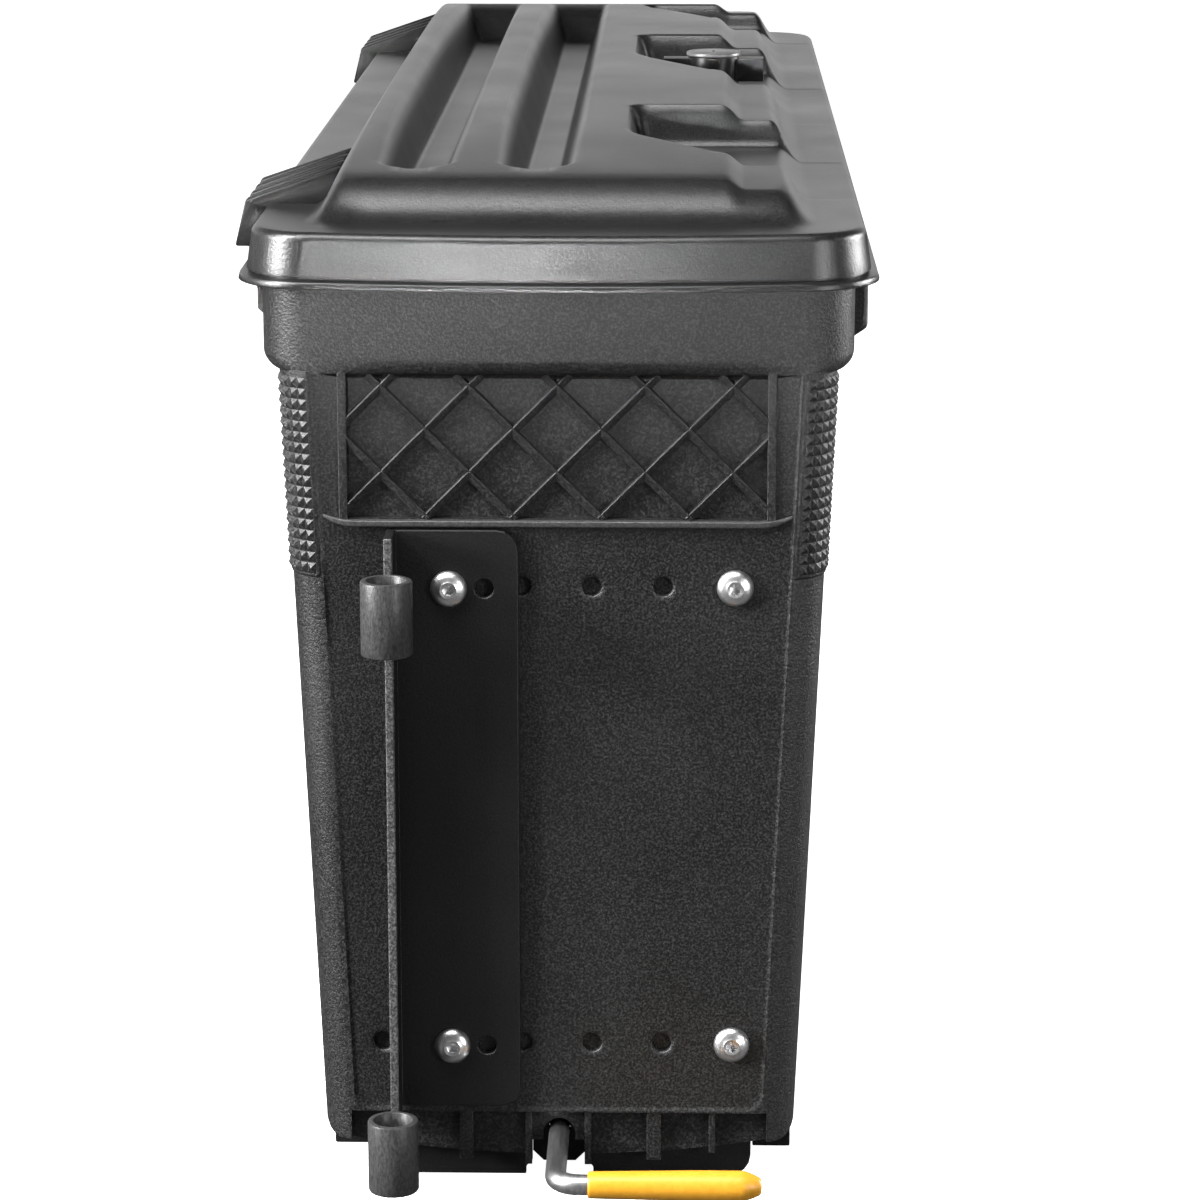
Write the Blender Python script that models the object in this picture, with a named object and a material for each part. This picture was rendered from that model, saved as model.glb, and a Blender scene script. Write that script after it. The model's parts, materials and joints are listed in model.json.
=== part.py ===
"""Wheel well tool box for a pickup bed.

Moulded case with a relief for the wheel well, a hinged lid with a twist latch,
a steel hinge bracket on the near end and a release rod under the floor.
X runs to the latch side, Y away from the bracket end, Z up from the ground.
"""
import math

import bmesh
import bpy
from mathutils import Matrix, Vector

MM = 0.001

# Fits
FIT_GAP = 0.3 * MM            # between pieces that touch
RUNNING_GAP = 0.35 * MM       # round a turning pin, per side
ROUND_SIDES = 20
SMALL_ROUND_SIDES = 10

# Case
CASE_LENGTH = 888 * MM        # end panel to far wall, under the collar
BODY_TOP_WIDTH = 250.4 * MM
SIDE_TAPER = 15.7 * MM
BODY_BOTTOM_WIDTH = BODY_TOP_WIDTH - 2 * SIDE_TAPER
BODY_HEIGHT = 350 * MM        # tub floor to the collar
WALL = 3.5 * MM
END_WALL = 6 * MM             # end wall behind the bracket
CORNER_RADIUS = 18 * MM
GROUND_GAP = 13.5 * MM        # ground to the lowest skirt edge
SKIRT_DEPTH = 22.5 * MM       # lowest skirt edge to the tub floor
SKIRT_WALL = 5 * MM
SKIRT_END_WALL = 8 * MM
SKIRT_SETBACK = 4 * MM
SKIRT_BOW = 8 * MM
SKIRT_PANEL_WIDTH = 194 * MM
BOTTOM_ROUND = 5 * MM
COLLAR_HEIGHT = 52 * MM       # collar edge to the rim
COLLAR_OVERHANG = 8.5 * MM
COLLAR_ROUND = 8 * MM
END_BOW = 8 * MM              # bulge of the collar and lid ends

# Wheel well relief
DEEP_LENGTH = 505 * MM        # end panel to the foot of the relief
DEEP_DRAFT = 8 * MM
RELIEF_HEIGHT = 228 * MM      # tub floor to the crown of the relief
RELIEF_RADIUS = 120 * MM
RELIEF_RISE = 5 * MM
FAR_DRAFT = 5 * MM

# End panel
LATTICE_WIDTH = 193 * MM
LATTICE_DEPTH = 3 * MM
LATTICE_PITCH = 39.6 * MM
LATTICE_RIB = 4 * MM
LEDGE_HEIGHT = 282 * MM       # tub floor to the ledge under the lattice
LEDGE_THICKNESS = 4 * MM
LEDGE_REACH = 3.5 * MM
LEDGE_LENGTH = 212 * MM
LEDGE_TAPER = 7 * MM
HOLE_PITCH = 32.4 * MM
HOLE_FIRST_X = -81.5 * MM
HOLE_COLUMNS = 6
HOLE_RADIUS = 4.2 * MM
HOLE_DEPTH = 3 * MM
LOWER_ROW = 34 * MM           # tub floor to the lower row of holes
ROW_SPACING = 218.4 * MM

# Gussets under the lip on the latch side
GUSSET_REACH = 7.5 * MM
GUSSET_LENGTH = 40 * MM
GUSSET_HEIGHT = 34 * MM
GUSSET_NEAR_Y = 80 * MM
GUSSET_FAR_MARGIN = 88 * MM
GUSSET_FAR_Y = CASE_LENGTH - GUSSET_FAR_MARGIN

# Lid
LIP_OVERHANG = 10.9 * MM      # past the collar
LIP_THICKNESS = 3.5 * MM
LIP_LAP = 12.5 * MM           # lip edge below the rim
LIP_RADIUS = 38 * MM
LID_WALL = 3.2 * MM
LID_WALL_INSET = 3.5 * MM     # lip tip to the wall's foot
LID_DRAFT = 2.6 * MM
LID_EDGE_ROUND = 4 * MM
LID_DEPTH = 24.5 * MM         # lip edge to the shelf
BLOCK_LEFT = 109.5 * MM
BLOCK_RIGHT = 110 * MM
BLOCK_STEP_X = 76 * MM
BLOCK_NEAR_MARGIN = 50 * MM   # lip tip to the block's foot
BLOCK_FAR_MARGIN = 36 * MM
BLOCK_HEIGHT = 17 * MM
BLOCK_CROWN = 11 * MM
BLOCK_FAR_RISE = 4 * MM
BLOCK_DROP = 4.5 * MM           # lower step on the latch side
BLOCK_STEP_CROWN = 7.8 * MM
BLOCK_END_SLOPE = 15 * MM
BLOCK_SIDE_SLOPE = 6.5 * MM
GROOVE_WIDTH = 31.5 * MM
GROOVE_SPACING = 55.5 * MM
GROOVE_FIRST_X = -67.5 * MM
GROOVE_FLOOR = 5 * MM         # shelf to the groove's floor
GROOVE_MARGIN = 43 * MM       # block's foot to the groove's ends
GROOVE_FAR_SLOPE = 22 * MM
GROOVE_RADIUS = 9 * MM
NOTCH_FLOOR = 8 * MM          # shelf to the notch's floor
NOTCH_INNER_X = 33 * MM
# Start, run of the slanted near side and length of each notch
NOTCH_PLACES = ((104 * MM, 52 * MM, 134 * MM), (391 * MM, 76 * MM, 170 * MM),
                (676 * MM, 108 * MM, 139 * MM))

# Lid hinges
HINGE_NEAR_Y = 124 * MM
HINGE_FAR_MARGIN = 89 * MM
HINGE_FAR_Y = CASE_LENGTH - HINGE_FAR_MARGIN
HINGE_LENGTH = 70 * MM
HINGE_OUTSET = 11.5 * MM      # collar face to the pin's axis
HINGE_RISE = 7.5 * MM         # lip edge to the pin's axis
HINGE_PIN_RADIUS = 2 * MM
KNUCKLE_RADIUS = 3.8 * MM
KNUCKLE_LENGTH = 14 * MM
HINGE_BASE_THICKNESS = 9 * MM
HINGE_BASE_HEIGHT = 28 * MM
HINGE_BASE_CHAMFER = 6 * MM
HINGE_ARM = 3.8 * MM
LEAF_THICKNESS = 2.5 * MM
COVER_WALL = 2.5 * MM
COVER_TIP_DROP = 3 * MM       # pin's axis to the cover's lower edge
COVER_KNEE_RISE = 19 * MM     # pin's axis to the cover's knee
COVER_LEAN = 5.4 * MM
COVER_FINS = 4
COVER_FIN_WIDTH = 8 * MM
COVER_SLOT_DEPTH = 2 * MM
COVER_TOP_OUTSET = 6 * MM     # block's edge to the cover's top
LID_RANGE = 90                # degrees

# Twist latch
LATCH_X = 72 * MM
LATCH_Y = 460 * MM
HOUSING_FLANGE_RADIUS = 18 * MM
HOUSING_FLANGE = 3 * MM
HOUSING_POST_RADIUS = 14 * MM
HOUSING_POST = 4 * MM
HOUSING_TUBE_RADIUS = 7.5 * MM
HOUSING_TUBE_REACH = 8 * MM   # below the lid's underside
HOUSING_NUT_RADIUS = 13 * MM
HOUSING_NUT = 5 * MM
SHAFT_RADIUS = 4 * MM
SHAFT_DROP = 42 * MM          # below the lid's underside
HANDLE_HUB_RADIUS = 14 * MM
HANDLE_HEIGHT = 14 * MM
HANDLE_ARM = 27.5 * MM
HANDLE_ARM_WIDTH = 13 * MM
CAP_RADIUS = 15 * MM
CAP_THICKNESS = 2.2 * MM
CYLINDER_RADIUS = 6 * MM
CYLINDER_DEPTH = 6 * MM
CAM_LENGTH = 48 * MM
CAM_WIDTH = 18 * MM
CAM_THICKNESS = 5 * MM
CAM_NUT_RADIUS = 7.5 * MM
CAM_NUT = 5 * MM
KEEPER_LENGTH = 50 * MM
KEEPER_THICKNESS = 3 * MM
KEEPER_REACH = 22 * MM
KEEPER_HEIGHT = 19 * MM

# Seal
SEAL_HEIGHT = 5.5 * MM
SEAL_WIDTH = 6 * MM

# Hinge bracket on the end panel
BRACKET_LEFT_X = -77 * MM
BRACKET_WIDTH = 59.5 * MM
BRACKET_BOTTOM = 4 * MM       # tub floor to the plate's lower edge
BRACKET_HEIGHT = 275.4 * MM
BRACKET_THICKNESS = 4 * MM
BRACKET_CORNER = 10 * MM
BRACKET_SPARE_HOLE_X = -33 * MM
BARREL_RADIUS = 11.65 * MM
BARREL_BORE = 8.6 * MM
BARREL_LENGTH = 34 * MM
BARREL_REACH = 35 * MM        # end panel to the barrels' axis
LOWER_BARREL_Z = 10.8 * MM
UPPER_BARREL_Z = 265.5 * MM
SCREW_COLUMNS = (1, 5)        # hole columns that carry screws
SCREW_HEAD_RADIUS = 8.35 * MM
SCREW_HEAD_HEIGHT = 4.6 * MM
SCREW_SHANK_RADIUS = 3.8 * MM
SCREW_SOCKET_RADIUS = 2.8 * MM
SCREW_SOCKET_DEPTH = 2.4 * MM
SCREW_NUT_RADIUS = 7.5 * MM
SCREW_NUT = 6.5 * MM
BACKING_THICKNESS = 3 * MM
BACKING_MARGIN = 14 * MM

# Undercarriage
RAIL_WIDTH = 18 * MM
RAIL_WEB = 11 * MM
RAIL_START_Y = 50 * MM
RAIL_END_MARGIN = 14 * MM
RAIL_SCREWS = 2               # on each rail
RAIL_SCREW_MARGIN = 40 * MM
PAN_HEAD_RADIUS = 4 * MM
PAN_HEAD_HEIGHT = 2.6 * MM
PAN_SHANK_RADIUS = 2.2 * MM
PAN_SHANK_DEPTH = 9 * MM
MEMBER_THICKNESS = 3 * MM
MEMBER_CLEARANCE = 1.5 * MM   # cross member to a rail
MEMBER_WIDTH = BODY_BOTTOM_WIDTH - 2 * (RAIL_WIDTH + MEMBER_CLEARANCE)
MEMBER_CORNER = 10 * MM
MEMBER_FLANGE = 30 * MM
FRONT_MEMBER_Y = 12 * MM
REAR_MEMBER_MARGIN = 22 * MM  # foot of the relief to the rear member
RIVET_RADIUS = 2.4 * MM
RIVET_HEAD_RADIUS = 4.6 * MM
RIVET_HEAD_HEIGHT = 2 * MM
MEMBER_RIVET_X = 60 * MM

# Release rod
ROD_RADIUS = 4.8 * MM
ROD_DROP = 8.7 * MM           # floor's underside to the rod's axis
ROD_REACH = 60 * MM           # end panel to the bent end's axis
ROD_BEND_RADIUS = 15 * MM
GRIP_START = 15 * MM
GRIP_LENGTH = 79 * MM
GRIP_RADIUS = 7 * MM
GRIP_TIP = 6 * MM
BUSHING_WIDTH = 25 * MM
BUSHING_LENGTH = 9 * MM
BUSHING_WALL = 3.6 * MM
BUSHING_DROP = 16 * MM        # rod's axis to the clip's lower edge
REAR_BUSHING_NECK = 6.4 * MM
COLLAR_RING_RADIUS = 7.9 * MM
COLLAR_RING_LENGTH = 9 * MM
SPRING_WIRE = 0.8 * MM
SPRING_RADIUS = 6.6 * MM
SPRING_TURNS = 5
SPRING_PITCH = 2.6 * MM
SPRING_POINTS = 10            # per turn
SPRING_LEG = 5 * MM
PAWL_GAP = 5 * MM             # foot of the relief to the pawl
PAWL_THICKNESS = 8 * MM
PAWL_RADIUS = 10.5 * MM
PAWL_REACH = 30 * MM
PAWL_HOOK = 9 * MM
PAWL_PIN_RADIUS = 1.5 * MM

# Places worked out from the sizes above
SKIRT_Z = GROUND_GAP
FLOOR_Z = SKIRT_Z + SKIRT_DEPTH
FLOOR_UNDER_Z = FLOOR_Z - WALL
COLLAR_Z = FLOOR_Z + BODY_HEIGHT
RIM_Z = COLLAR_Z + COLLAR_HEIGHT
LIP_Z = RIM_Z - LIP_LAP
SHELF_Z = LIP_Z + LID_DEPTH
LID_UNDER_Z = SHELF_Z - LID_WALL
COLLAR_HALF = BODY_TOP_WIDTH / 2 + COLLAR_OVERHANG
LIP_HALF = COLLAR_HALF + LIP_OVERHANG
LID_NEAR_Y = -COLLAR_OVERHANG - LIP_OVERHANG
LID_FAR_Y = CASE_LENGTH + COLLAR_OVERHANG + LIP_OVERHANG
BLOCK_NEAR_Y = LID_NEAR_Y + BLOCK_NEAR_MARGIN
BLOCK_FAR_Y = LID_FAR_Y - BLOCK_FAR_MARGIN
BLOCK_TOP_Z = SHELF_Z + BLOCK_HEIGHT + BLOCK_CROWN + BLOCK_FAR_RISE
HINGE_X = -COLLAR_HALF - HINGE_OUTSET
HINGE_Z = LIP_Z + HINGE_RISE
COVER_TIP_X = HINGE_X - KNUCKLE_RADIUS - FIT_GAP - COVER_WALL - MM
LEDGE_Z = FLOOR_Z + LEDGE_HEIGHT
ROD_Z = FLOOR_UNDER_Z - ROD_DROP
REAR_MEMBER_Y = DEEP_LENGTH - REAR_MEMBER_MARGIN
PAWL_Y = DEEP_LENGTH + PAWL_GAP
NOTCH_FLOOR_Z = SHELF_Z + NOTCH_FLOOR
HOUSING_TOP_Z = NOTCH_FLOOR_Z + FIT_GAP + HOUSING_FLANGE + HOUSING_POST
HANDLE_Z = HOUSING_TOP_Z + FIT_GAP
HANDLE_TOP_Z = HANDLE_Z + HANDLE_HEIGHT
SHAFT_BOTTOM_Z = LID_UNDER_Z - SHAFT_DROP
CAM_Z = SHAFT_BOTTOM_Z + CAM_NUT + 2 * FIT_GAP
HOLE_ROWS = (FLOOR_Z + LOWER_ROW, FLOOR_Z + LOWER_ROW + ROW_SPACING)
BACKING_Y = END_WALL + FIT_GAP
GRIP_END = GRIP_START + GRIP_LENGTH

COLOURS = {
    "moulded_black": ((0.030, 0.031, 0.033), 0.50, 0.0),
    "powder_black": ((0.022, 0.022, 0.023), 0.55, 0.0),
    "bright_zinc": ((0.62, 0.63, 0.65), 0.28, 1.0),
    "bare_steel": ((0.45, 0.45, 0.46), 0.34, 1.0),
    "yellow_vinyl": ((0.97, 0.52, 0.028), 0.42, 0.0),
    "seal_rubber": ((0.018, 0.018, 0.018), 0.80, 0.0),
    "pale_cap": ((0.55, 0.56, 0.57), 0.40, 0.0),
}


def clear_scene():
    for item in list(bpy.data.objects):
        bpy.data.objects.remove(item, do_unlink=True)


def make_material(name):
    colour, roughness, metallic = COLOURS[name]
    material = bpy.data.materials.new(name)
    material.use_nodes = True
    shader = material.node_tree.nodes["Principled BSDF"]
    shader.inputs["Base Color"].default_value = (*colour, 1.0)
    shader.inputs["Roughness"].default_value = roughness
    shader.inputs["Metallic"].default_value = metallic
    return material


# Solids


def solid(vertices, faces):
    mesh = bpy.data.meshes.new("solid")
    mesh.from_pydata([tuple(v) for v in vertices], [], faces)
    work = bmesh.new()
    work.from_mesh(mesh)
    bmesh.ops.recalc_face_normals(work, faces=work.faces)
    work.to_mesh(mesh)
    work.free()
    item = bpy.data.objects.new("solid", mesh)
    bpy.context.scene.collection.objects.link(item)
    return item


def loft(rings):
    count = len(rings[0])
    vertices = [point for ring in rings for point in ring]
    faces = [list(range(count - 1, -1, -1))]
    for low in range(len(rings) - 1):
        a, b = low * count, (low + 1) * count
        for i in range(count):
            j = (i + 1) % count
            faces.append([a + i, a + j, b + j, b + i])
    last = (len(rings) - 1) * count
    faces.append(list(range(last, last + count)))
    return solid(vertices, faces)


def prism(profile, axis, low, high):
    """Extrude a profile: (y, z) along X, (x, z) along Y or (x, y) along Z."""
    def place(point, depth):
        a, b = point
        return {"X": (depth, a, b), "Y": (a, depth, b), "Z": (a, b, depth)}[axis]
    return loft([[place(p, low) for p in profile], [place(p, high) for p in profile]])


def box(low, high):
    (x0, y0, z0), (x1, y1, z1) = low, high
    return prism([(x0, y0), (x1, y0), (x1, y1), (x0, y1)], "Z", z0, z1)


def circle(radius, sides, centre=(0.0, 0.0)):
    step = 2 * math.pi / sides
    return [(centre[0] + radius * math.cos(i * step), centre[1] + radius * math.sin(i * step))
            for i in range(sides)]


def rod(axis, centre, radius, low, high, sides=ROUND_SIDES):
    return prism(circle(radius, sides, centre), axis, low, high)


def bore(axis, centre, radius, low, high, sides=SMALL_ROUND_SIDES):
    """Round cutter whose flats, not its corners, lie at the radius."""
    return rod(axis, centre, radius / math.cos(math.pi / sides), low, high, sides)


def turned(profile, axis, centre, sides=ROUND_SIDES):
    """Stack circles of (radius, height) along an axis."""
    rings = []
    for radius, height in profile:
        ring = []
        for a, b in circle(radius, sides, centre):
            ring.append({"X": (height, a, b), "Y": (a, height, b), "Z": (a, b, height)}[axis])
        rings.append(ring)
    return loft(rings)


def arc(centre, radius, start, end, steps):
    points = []
    for i in range(steps + 1):
        angle = math.radians(start + (end - start) * i / steps)
        points.append((centre[0] + radius * math.cos(angle), centre[1] + radius * math.sin(angle)))
    return points


def outline(half, near, far, radius, bow=0.0, centre=0.0, corner_steps=4, end_steps=6):
    """Plan of a rounded box whose near and far ends bulge by bow."""
    flat = half - radius
    points = []
    for i in range(1, end_steps):
        share = 2 * i / end_steps - 1
        points.append((centre + flat * share, near + bow * share ** 2))
    points += arc((centre + flat, near + bow + radius), radius, -90, 0, corner_steps)
    points += arc((centre + flat, far - bow - radius), radius, 0, 90, corner_steps)
    for i in range(1, end_steps):
        share = 1 - 2 * i / end_steps
        points.append((centre + flat * share, far - bow * share ** 2))
    points += arc((centre - flat, far - bow - radius), radius, 90, 180, corner_steps)
    points += arc((centre - flat, near + bow + radius), radius, 180, 270, corner_steps)
    return points


def ring_at(plan, height):
    return [(x, y, height) for x, y in plan]


def tube(points, radius, sides):
    """Round bar along a path, with flat ends."""
    path = [Vector(p) for p in points]
    rings = []
    normal = None
    for i, point in enumerate(path):
        ahead = path[min(i + 1, len(path) - 1)]
        behind = path[max(i - 1, 0)]
        along = (ahead - behind).normalized()
        if normal is None:
            normal = along.orthogonal().normalized()
        normal = (normal - along * normal.dot(along)).normalized()
        side = along.cross(normal)
        rings.append([point + normal * a + side * b for a, b in circle(radius, sides)])
    return loft(rings)


def least_gap(points, radius, apart):
    """Least gap between stretches of a tube that lie at least so many points apart."""
    path = [Vector(p) for p in points]
    return min((a - b).length for i, a in enumerate(path) for b in path[i + apart:]) - 2 * radius


def combine(target, tool, operation):
    change = target.modifiers.new("change", "BOOLEAN")
    change.operation = operation
    change.solver = "EXACT"
    change.object = tool
    bpy.context.view_layer.update()
    evaluated = target.evaluated_get(bpy.context.evaluated_depsgraph_get())
    mesh = bpy.data.meshes.new_from_object(evaluated)
    target.modifiers.clear()
    target.data = mesh
    bpy.data.objects.remove(tool, do_unlink=True)
    return target


def cut(target, *tools):
    for tool in tools:
        combine(target, tool, "DIFFERENCE")
    return target


def fuse(target, *tools):
    for tool in tools:
        combine(target, tool, "UNION")
    return target


def common(target, tool):
    return combine(target, tool, "INTERSECT")


def group(items):
    """Several separate solids in one object."""
    work = bmesh.new()
    for item in items:
        work.from_mesh(item.data)
        bpy.data.objects.remove(item, do_unlink=True)
    mesh = bpy.data.meshes.new("group")
    work.to_mesh(mesh)
    work.free()
    item = bpy.data.objects.new("group", mesh)
    bpy.context.scene.collection.objects.link(item)
    return item


def empty(name, place, parent=None):
    item = bpy.data.objects.new(name, None)
    bpy.context.scene.collection.objects.link(item)
    item.parent = parent
    item["place"] = place
    held = Vector(parent["place"]) if parent else Vector((0, 0, 0))
    item.location = Vector(place) - held
    return item


def name_piece(item, name, colour, carrier):
    """Give a solid its name, colour and carrier, with its origin on the carrier's axis."""
    item.name = name
    item.data.name = name
    item.data.transform(Matrix.Translation(-Vector(carrier["place"])))
    item.parent = carrier
    item.data.materials.clear()
    item.data.materials.append(make_material(colour))
    for face in item.data.polygons:
        face.use_smooth = True
    item.data.set_sharp_from_angle(angle=math.radians(32))
    return item


def name_pieces(items, name, colour, carrier):
    for number, item in enumerate(items, 1):
        name_piece(item, f"{name}_{number}", colour, carrier)


# Case body


def body_half(height):
    share = (height - SKIRT_Z) / (COLLAR_Z - SKIRT_Z)
    return (BODY_BOTTOM_WIDTH + (BODY_TOP_WIDTH - BODY_BOTTOM_WIDTH) * share) / 2


def rim_plan(inset):
    """Plan of a line round the rim, inset from the collar's outer face."""
    return outline(COLLAR_HALF - inset, -COLLAR_OVERHANG + inset, CASE_LENGTH + COLLAR_OVERHANG - inset,
                   CORNER_RADIUS + COLLAR_OVERHANG - inset, END_BOW)


def far_profile(start, inset):
    """Side view of the far wall and the wheel well relief, as (y, z) upwards."""
    radius = RELIEF_RADIUS + inset
    crown = FLOOR_Z + RELIEF_HEIGHT
    centre = (DEEP_LENGTH + DEEP_DRAFT + RELIEF_RADIUS, crown - RELIEF_RADIUS)
    points = [(DEEP_LENGTH - inset, start)]
    points += arc(centre, radius, 180, 90, 6)
    points.append((CASE_LENGTH - FAR_DRAFT - inset, crown + RELIEF_RISE + inset))
    points.append((CASE_LENGTH - inset, COLLAR_Z))
    return points


def tub():
    rings = []
    bottom = outline(body_half(SKIRT_Z) - BOTTOM_ROUND, BOTTOM_ROUND / 2, DEEP_LENGTH - BOTTOM_ROUND / 2,
                     CORNER_RADIUS)
    rings.append(ring_at(bottom, SKIRT_Z))
    for far, height in far_profile(SKIRT_Z + BOTTOM_ROUND, 0.0):
        rings.append(ring_at(outline(body_half(height), 0.0, far, CORNER_RADIUS), height))
    for step in range(1, 4):
        turn = math.radians(30 * step)
        reach = COLLAR_OVERHANG * math.sin(turn)
        plan = outline(body_half(COLLAR_Z) + reach, -reach, CASE_LENGTH + reach, CORNER_RADIUS + reach,
                       END_BOW * math.sin(turn))
        rings.append(ring_at(plan, COLLAR_Z + COLLAR_ROUND * (1 - math.cos(turn))))
    rings.append(ring_at(rim_plan(0.0), RIM_Z))
    rings.append(ring_at(rim_plan(WALL), RIM_Z))
    rings.append(ring_at(rim_plan(WALL), COLLAR_Z + COLLAR_ROUND + WALL))
    inside = []
    for far, height in far_profile(FLOOR_Z, WALL):
        plan = outline(body_half(height) - WALL, END_WALL, far, CORNER_RADIUS - WALL)
        inside.append(ring_at(plan, height))
    return loft(rings + inside[::-1])


def clip_half_plane(polygon, axis, limit, keep_below):
    """Part of a convex polygon on one side of an axis-aligned line."""
    kept = []
    for i, point in enumerate(polygon):
        following = polygon[(i + 1) % len(polygon)]
        inside = (point[axis] <= limit) == keep_below
        inside_next = (following[axis] <= limit) == keep_below
        if inside:
            kept.append(point)
        if inside != inside_next:
            share = (limit - point[axis]) / (following[axis] - point[axis])
            kept.append(tuple(p + (q - p) * share for p, q in zip(point, following)))
    return kept


def lattice_pockets():
    """Diamond pockets that leave the crossed ribs of the end panel standing."""
    left, right = -LATTICE_WIDTH / 2, LATTICE_WIDTH / 2
    low, high = LEDGE_Z + LEDGE_THICKNESS / 2, COLLAR_Z - LATTICE_RIB / 2
    reach = (LATTICE_PITCH - LATTICE_RIB * math.sqrt(2)) / 2
    least_side = LATTICE_RIB / 2
    columns = int(LATTICE_WIDTH / LATTICE_PITCH) + 3
    rows = int((high - low) / LATTICE_PITCH) + 3
    pockets = []
    for row in range(-2, 2 * rows):
        for column in range(-columns, columns + 1):
            x = (column + (row % 2) / 2) * LATTICE_PITCH
            z = low + row * LATTICE_PITCH / 2
            cell = [(x - reach, z), (x, z - reach), (x + reach, z), (x, z + reach)]
            for axis, limit, below in ((0, left, False), (0, right, True), (1, low, False), (1, high, True)):
                cell = clip_half_plane(cell, axis, limit, below) if cell else cell
            if len(cell) < 3:
                continue
            wide = max(p[0] for p in cell) - min(p[0] for p in cell)
            tall = max(p[1] for p in cell) - min(p[1] for p in cell)
            if min(wide, tall) > least_side:
                pockets.append(prism(cell, "Y", -COLLAR_OVERHANG, LATTICE_DEPTH))
    return group(pockets)


def skirt_pockets():
    """Set-back bays of the end skirt between its ribs."""
    half = SKIRT_PANEL_WIDTH / 2
    wide_rib, thin_rib = 10 * MM, 4 * MM
    ribs = [(-half * 0.43, wide_rib), (-BUSHING_WIDTH / 2 - thin_rib, thin_rib),
            (BUSHING_WIDTH / 2 + thin_rib, thin_rib), (half * 0.42, wide_rib), (half * 0.59, thin_rib)]
    edges = [-half]
    for middle, width in ribs:
        edges += [middle - width / 2, middle + width / 2]
    edges.append(half)
    bays = []
    for start, end in zip(edges[0::2], edges[1::2]):
        bays.append(box((start, -MM, SKIRT_Z - MM), (end, SKIRT_SETBACK, FLOOR_Z)))
    return group(bays)


def skirt_edge():
    """Space under the bowed lower edge of the end skirt."""
    half = SKIRT_PANEL_WIDTH / 2
    points = []
    for i in range(-6, 7):
        share = i / 6
        points.append((share * half, SKIRT_Z + SKIRT_BOW * share ** 2))
    side = BODY_BOTTOM_WIDTH
    points = [(-side, SKIRT_Z - BOTTOM_ROUND), (-side, SKIRT_Z + SKIRT_BOW)] + points
    points += [(side, SKIRT_Z + SKIRT_BOW), (side, SKIRT_Z - BOTTOM_ROUND)]
    return prism(points, "Y", -MM, SKIRT_END_WALL + MM)


def rod_arch(low, high):
    half = BUSHING_WIDTH / 2 + FIT_GAP
    top = ROD_Z + ROD_RADIUS + BUSHING_WALL + FIT_GAP
    points = [(-half, 0.0), (half, 0.0), (half, top - half / 2), (half / 2, top), (-half / 2, top),
              (-half, top - half / 2)]
    return prism(points, "Y", low, high)


def ledge():
    half = LEDGE_LENGTH / 2
    plan = [(-half, END_WALL / 2), (-half, 0.0), (-half + LEDGE_TAPER, -LEDGE_REACH),
            (half - LEDGE_TAPER, -LEDGE_REACH), (half, 0.0), (half, END_WALL / 2)]
    return prism(plan, "Z", LEDGE_Z - LEDGE_THICKNESS / 2, LEDGE_Z + LEDGE_THICKNESS / 2)


def lip_gusset(middle):
    inner = COLLAR_HALF - WALL / 2
    outer = COLLAR_HALF + GUSSET_REACH
    top = LIP_Z - FIT_GAP * 6
    low = top - GUSSET_HEIGHT
    points = [(inner, low), (outer, low + GUSSET_REACH), (outer, top), (inner, top)]
    return prism(points, "Y", middle - GUSSET_LENGTH / 2, middle + GUSSET_LENGTH / 2)


def hole_x(column):
    return HOLE_FIRST_X + column * HOLE_PITCH


def screw_places():
    return [(hole_x(column), height) for column in SCREW_COLUMNS for height in HOLE_ROWS]


def hinge_rivets_y(middle):
    offset = HINGE_LENGTH / 2 - KNUCKLE_LENGTH
    return (middle - offset, middle + offset)


def hinge_rivet_z():
    return LIP_Z - HINGE_BASE_HEIGHT / 2


def keeper_rivets_y():
    offset = KEEPER_LENGTH / 2 - RIVET_HEAD_RADIUS * 2
    return (LATCH_Y - offset, LATCH_Y + offset)


def keeper_low():
    return CAM_Z + CAM_THICKNESS + FIT_GAP


def keeper_rivet_z():
    return keeper_low() + KEEPER_HEIGHT / 2 + KEEPER_THICKNESS / 2


def rail_screw_places():
    start = RAIL_START_Y + RAIL_SCREW_MARGIN
    end = DEEP_LENGTH - RAIL_END_MARGIN - RAIL_SCREW_MARGIN
    across = body_half(SKIRT_Z) - RAIL_WIDTH + RAIL_WEB / 2
    return [(side * across, start + (end - start) * i / (RAIL_SCREWS - 1))
            for side in (-1, 1) for i in range(RAIL_SCREWS)]


def member_rivet_places(member_y, direction):
    middle = member_y + direction * (MEMBER_THICKNESS + MEMBER_FLANGE) / 2
    return [(side * MEMBER_RIVET_X, middle) for side in (-1, 1)]


def all_member_rivets():
    return member_rivet_places(FRONT_MEMBER_Y, 1) + member_rivet_places(REAR_MEMBER_Y, -1)


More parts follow.
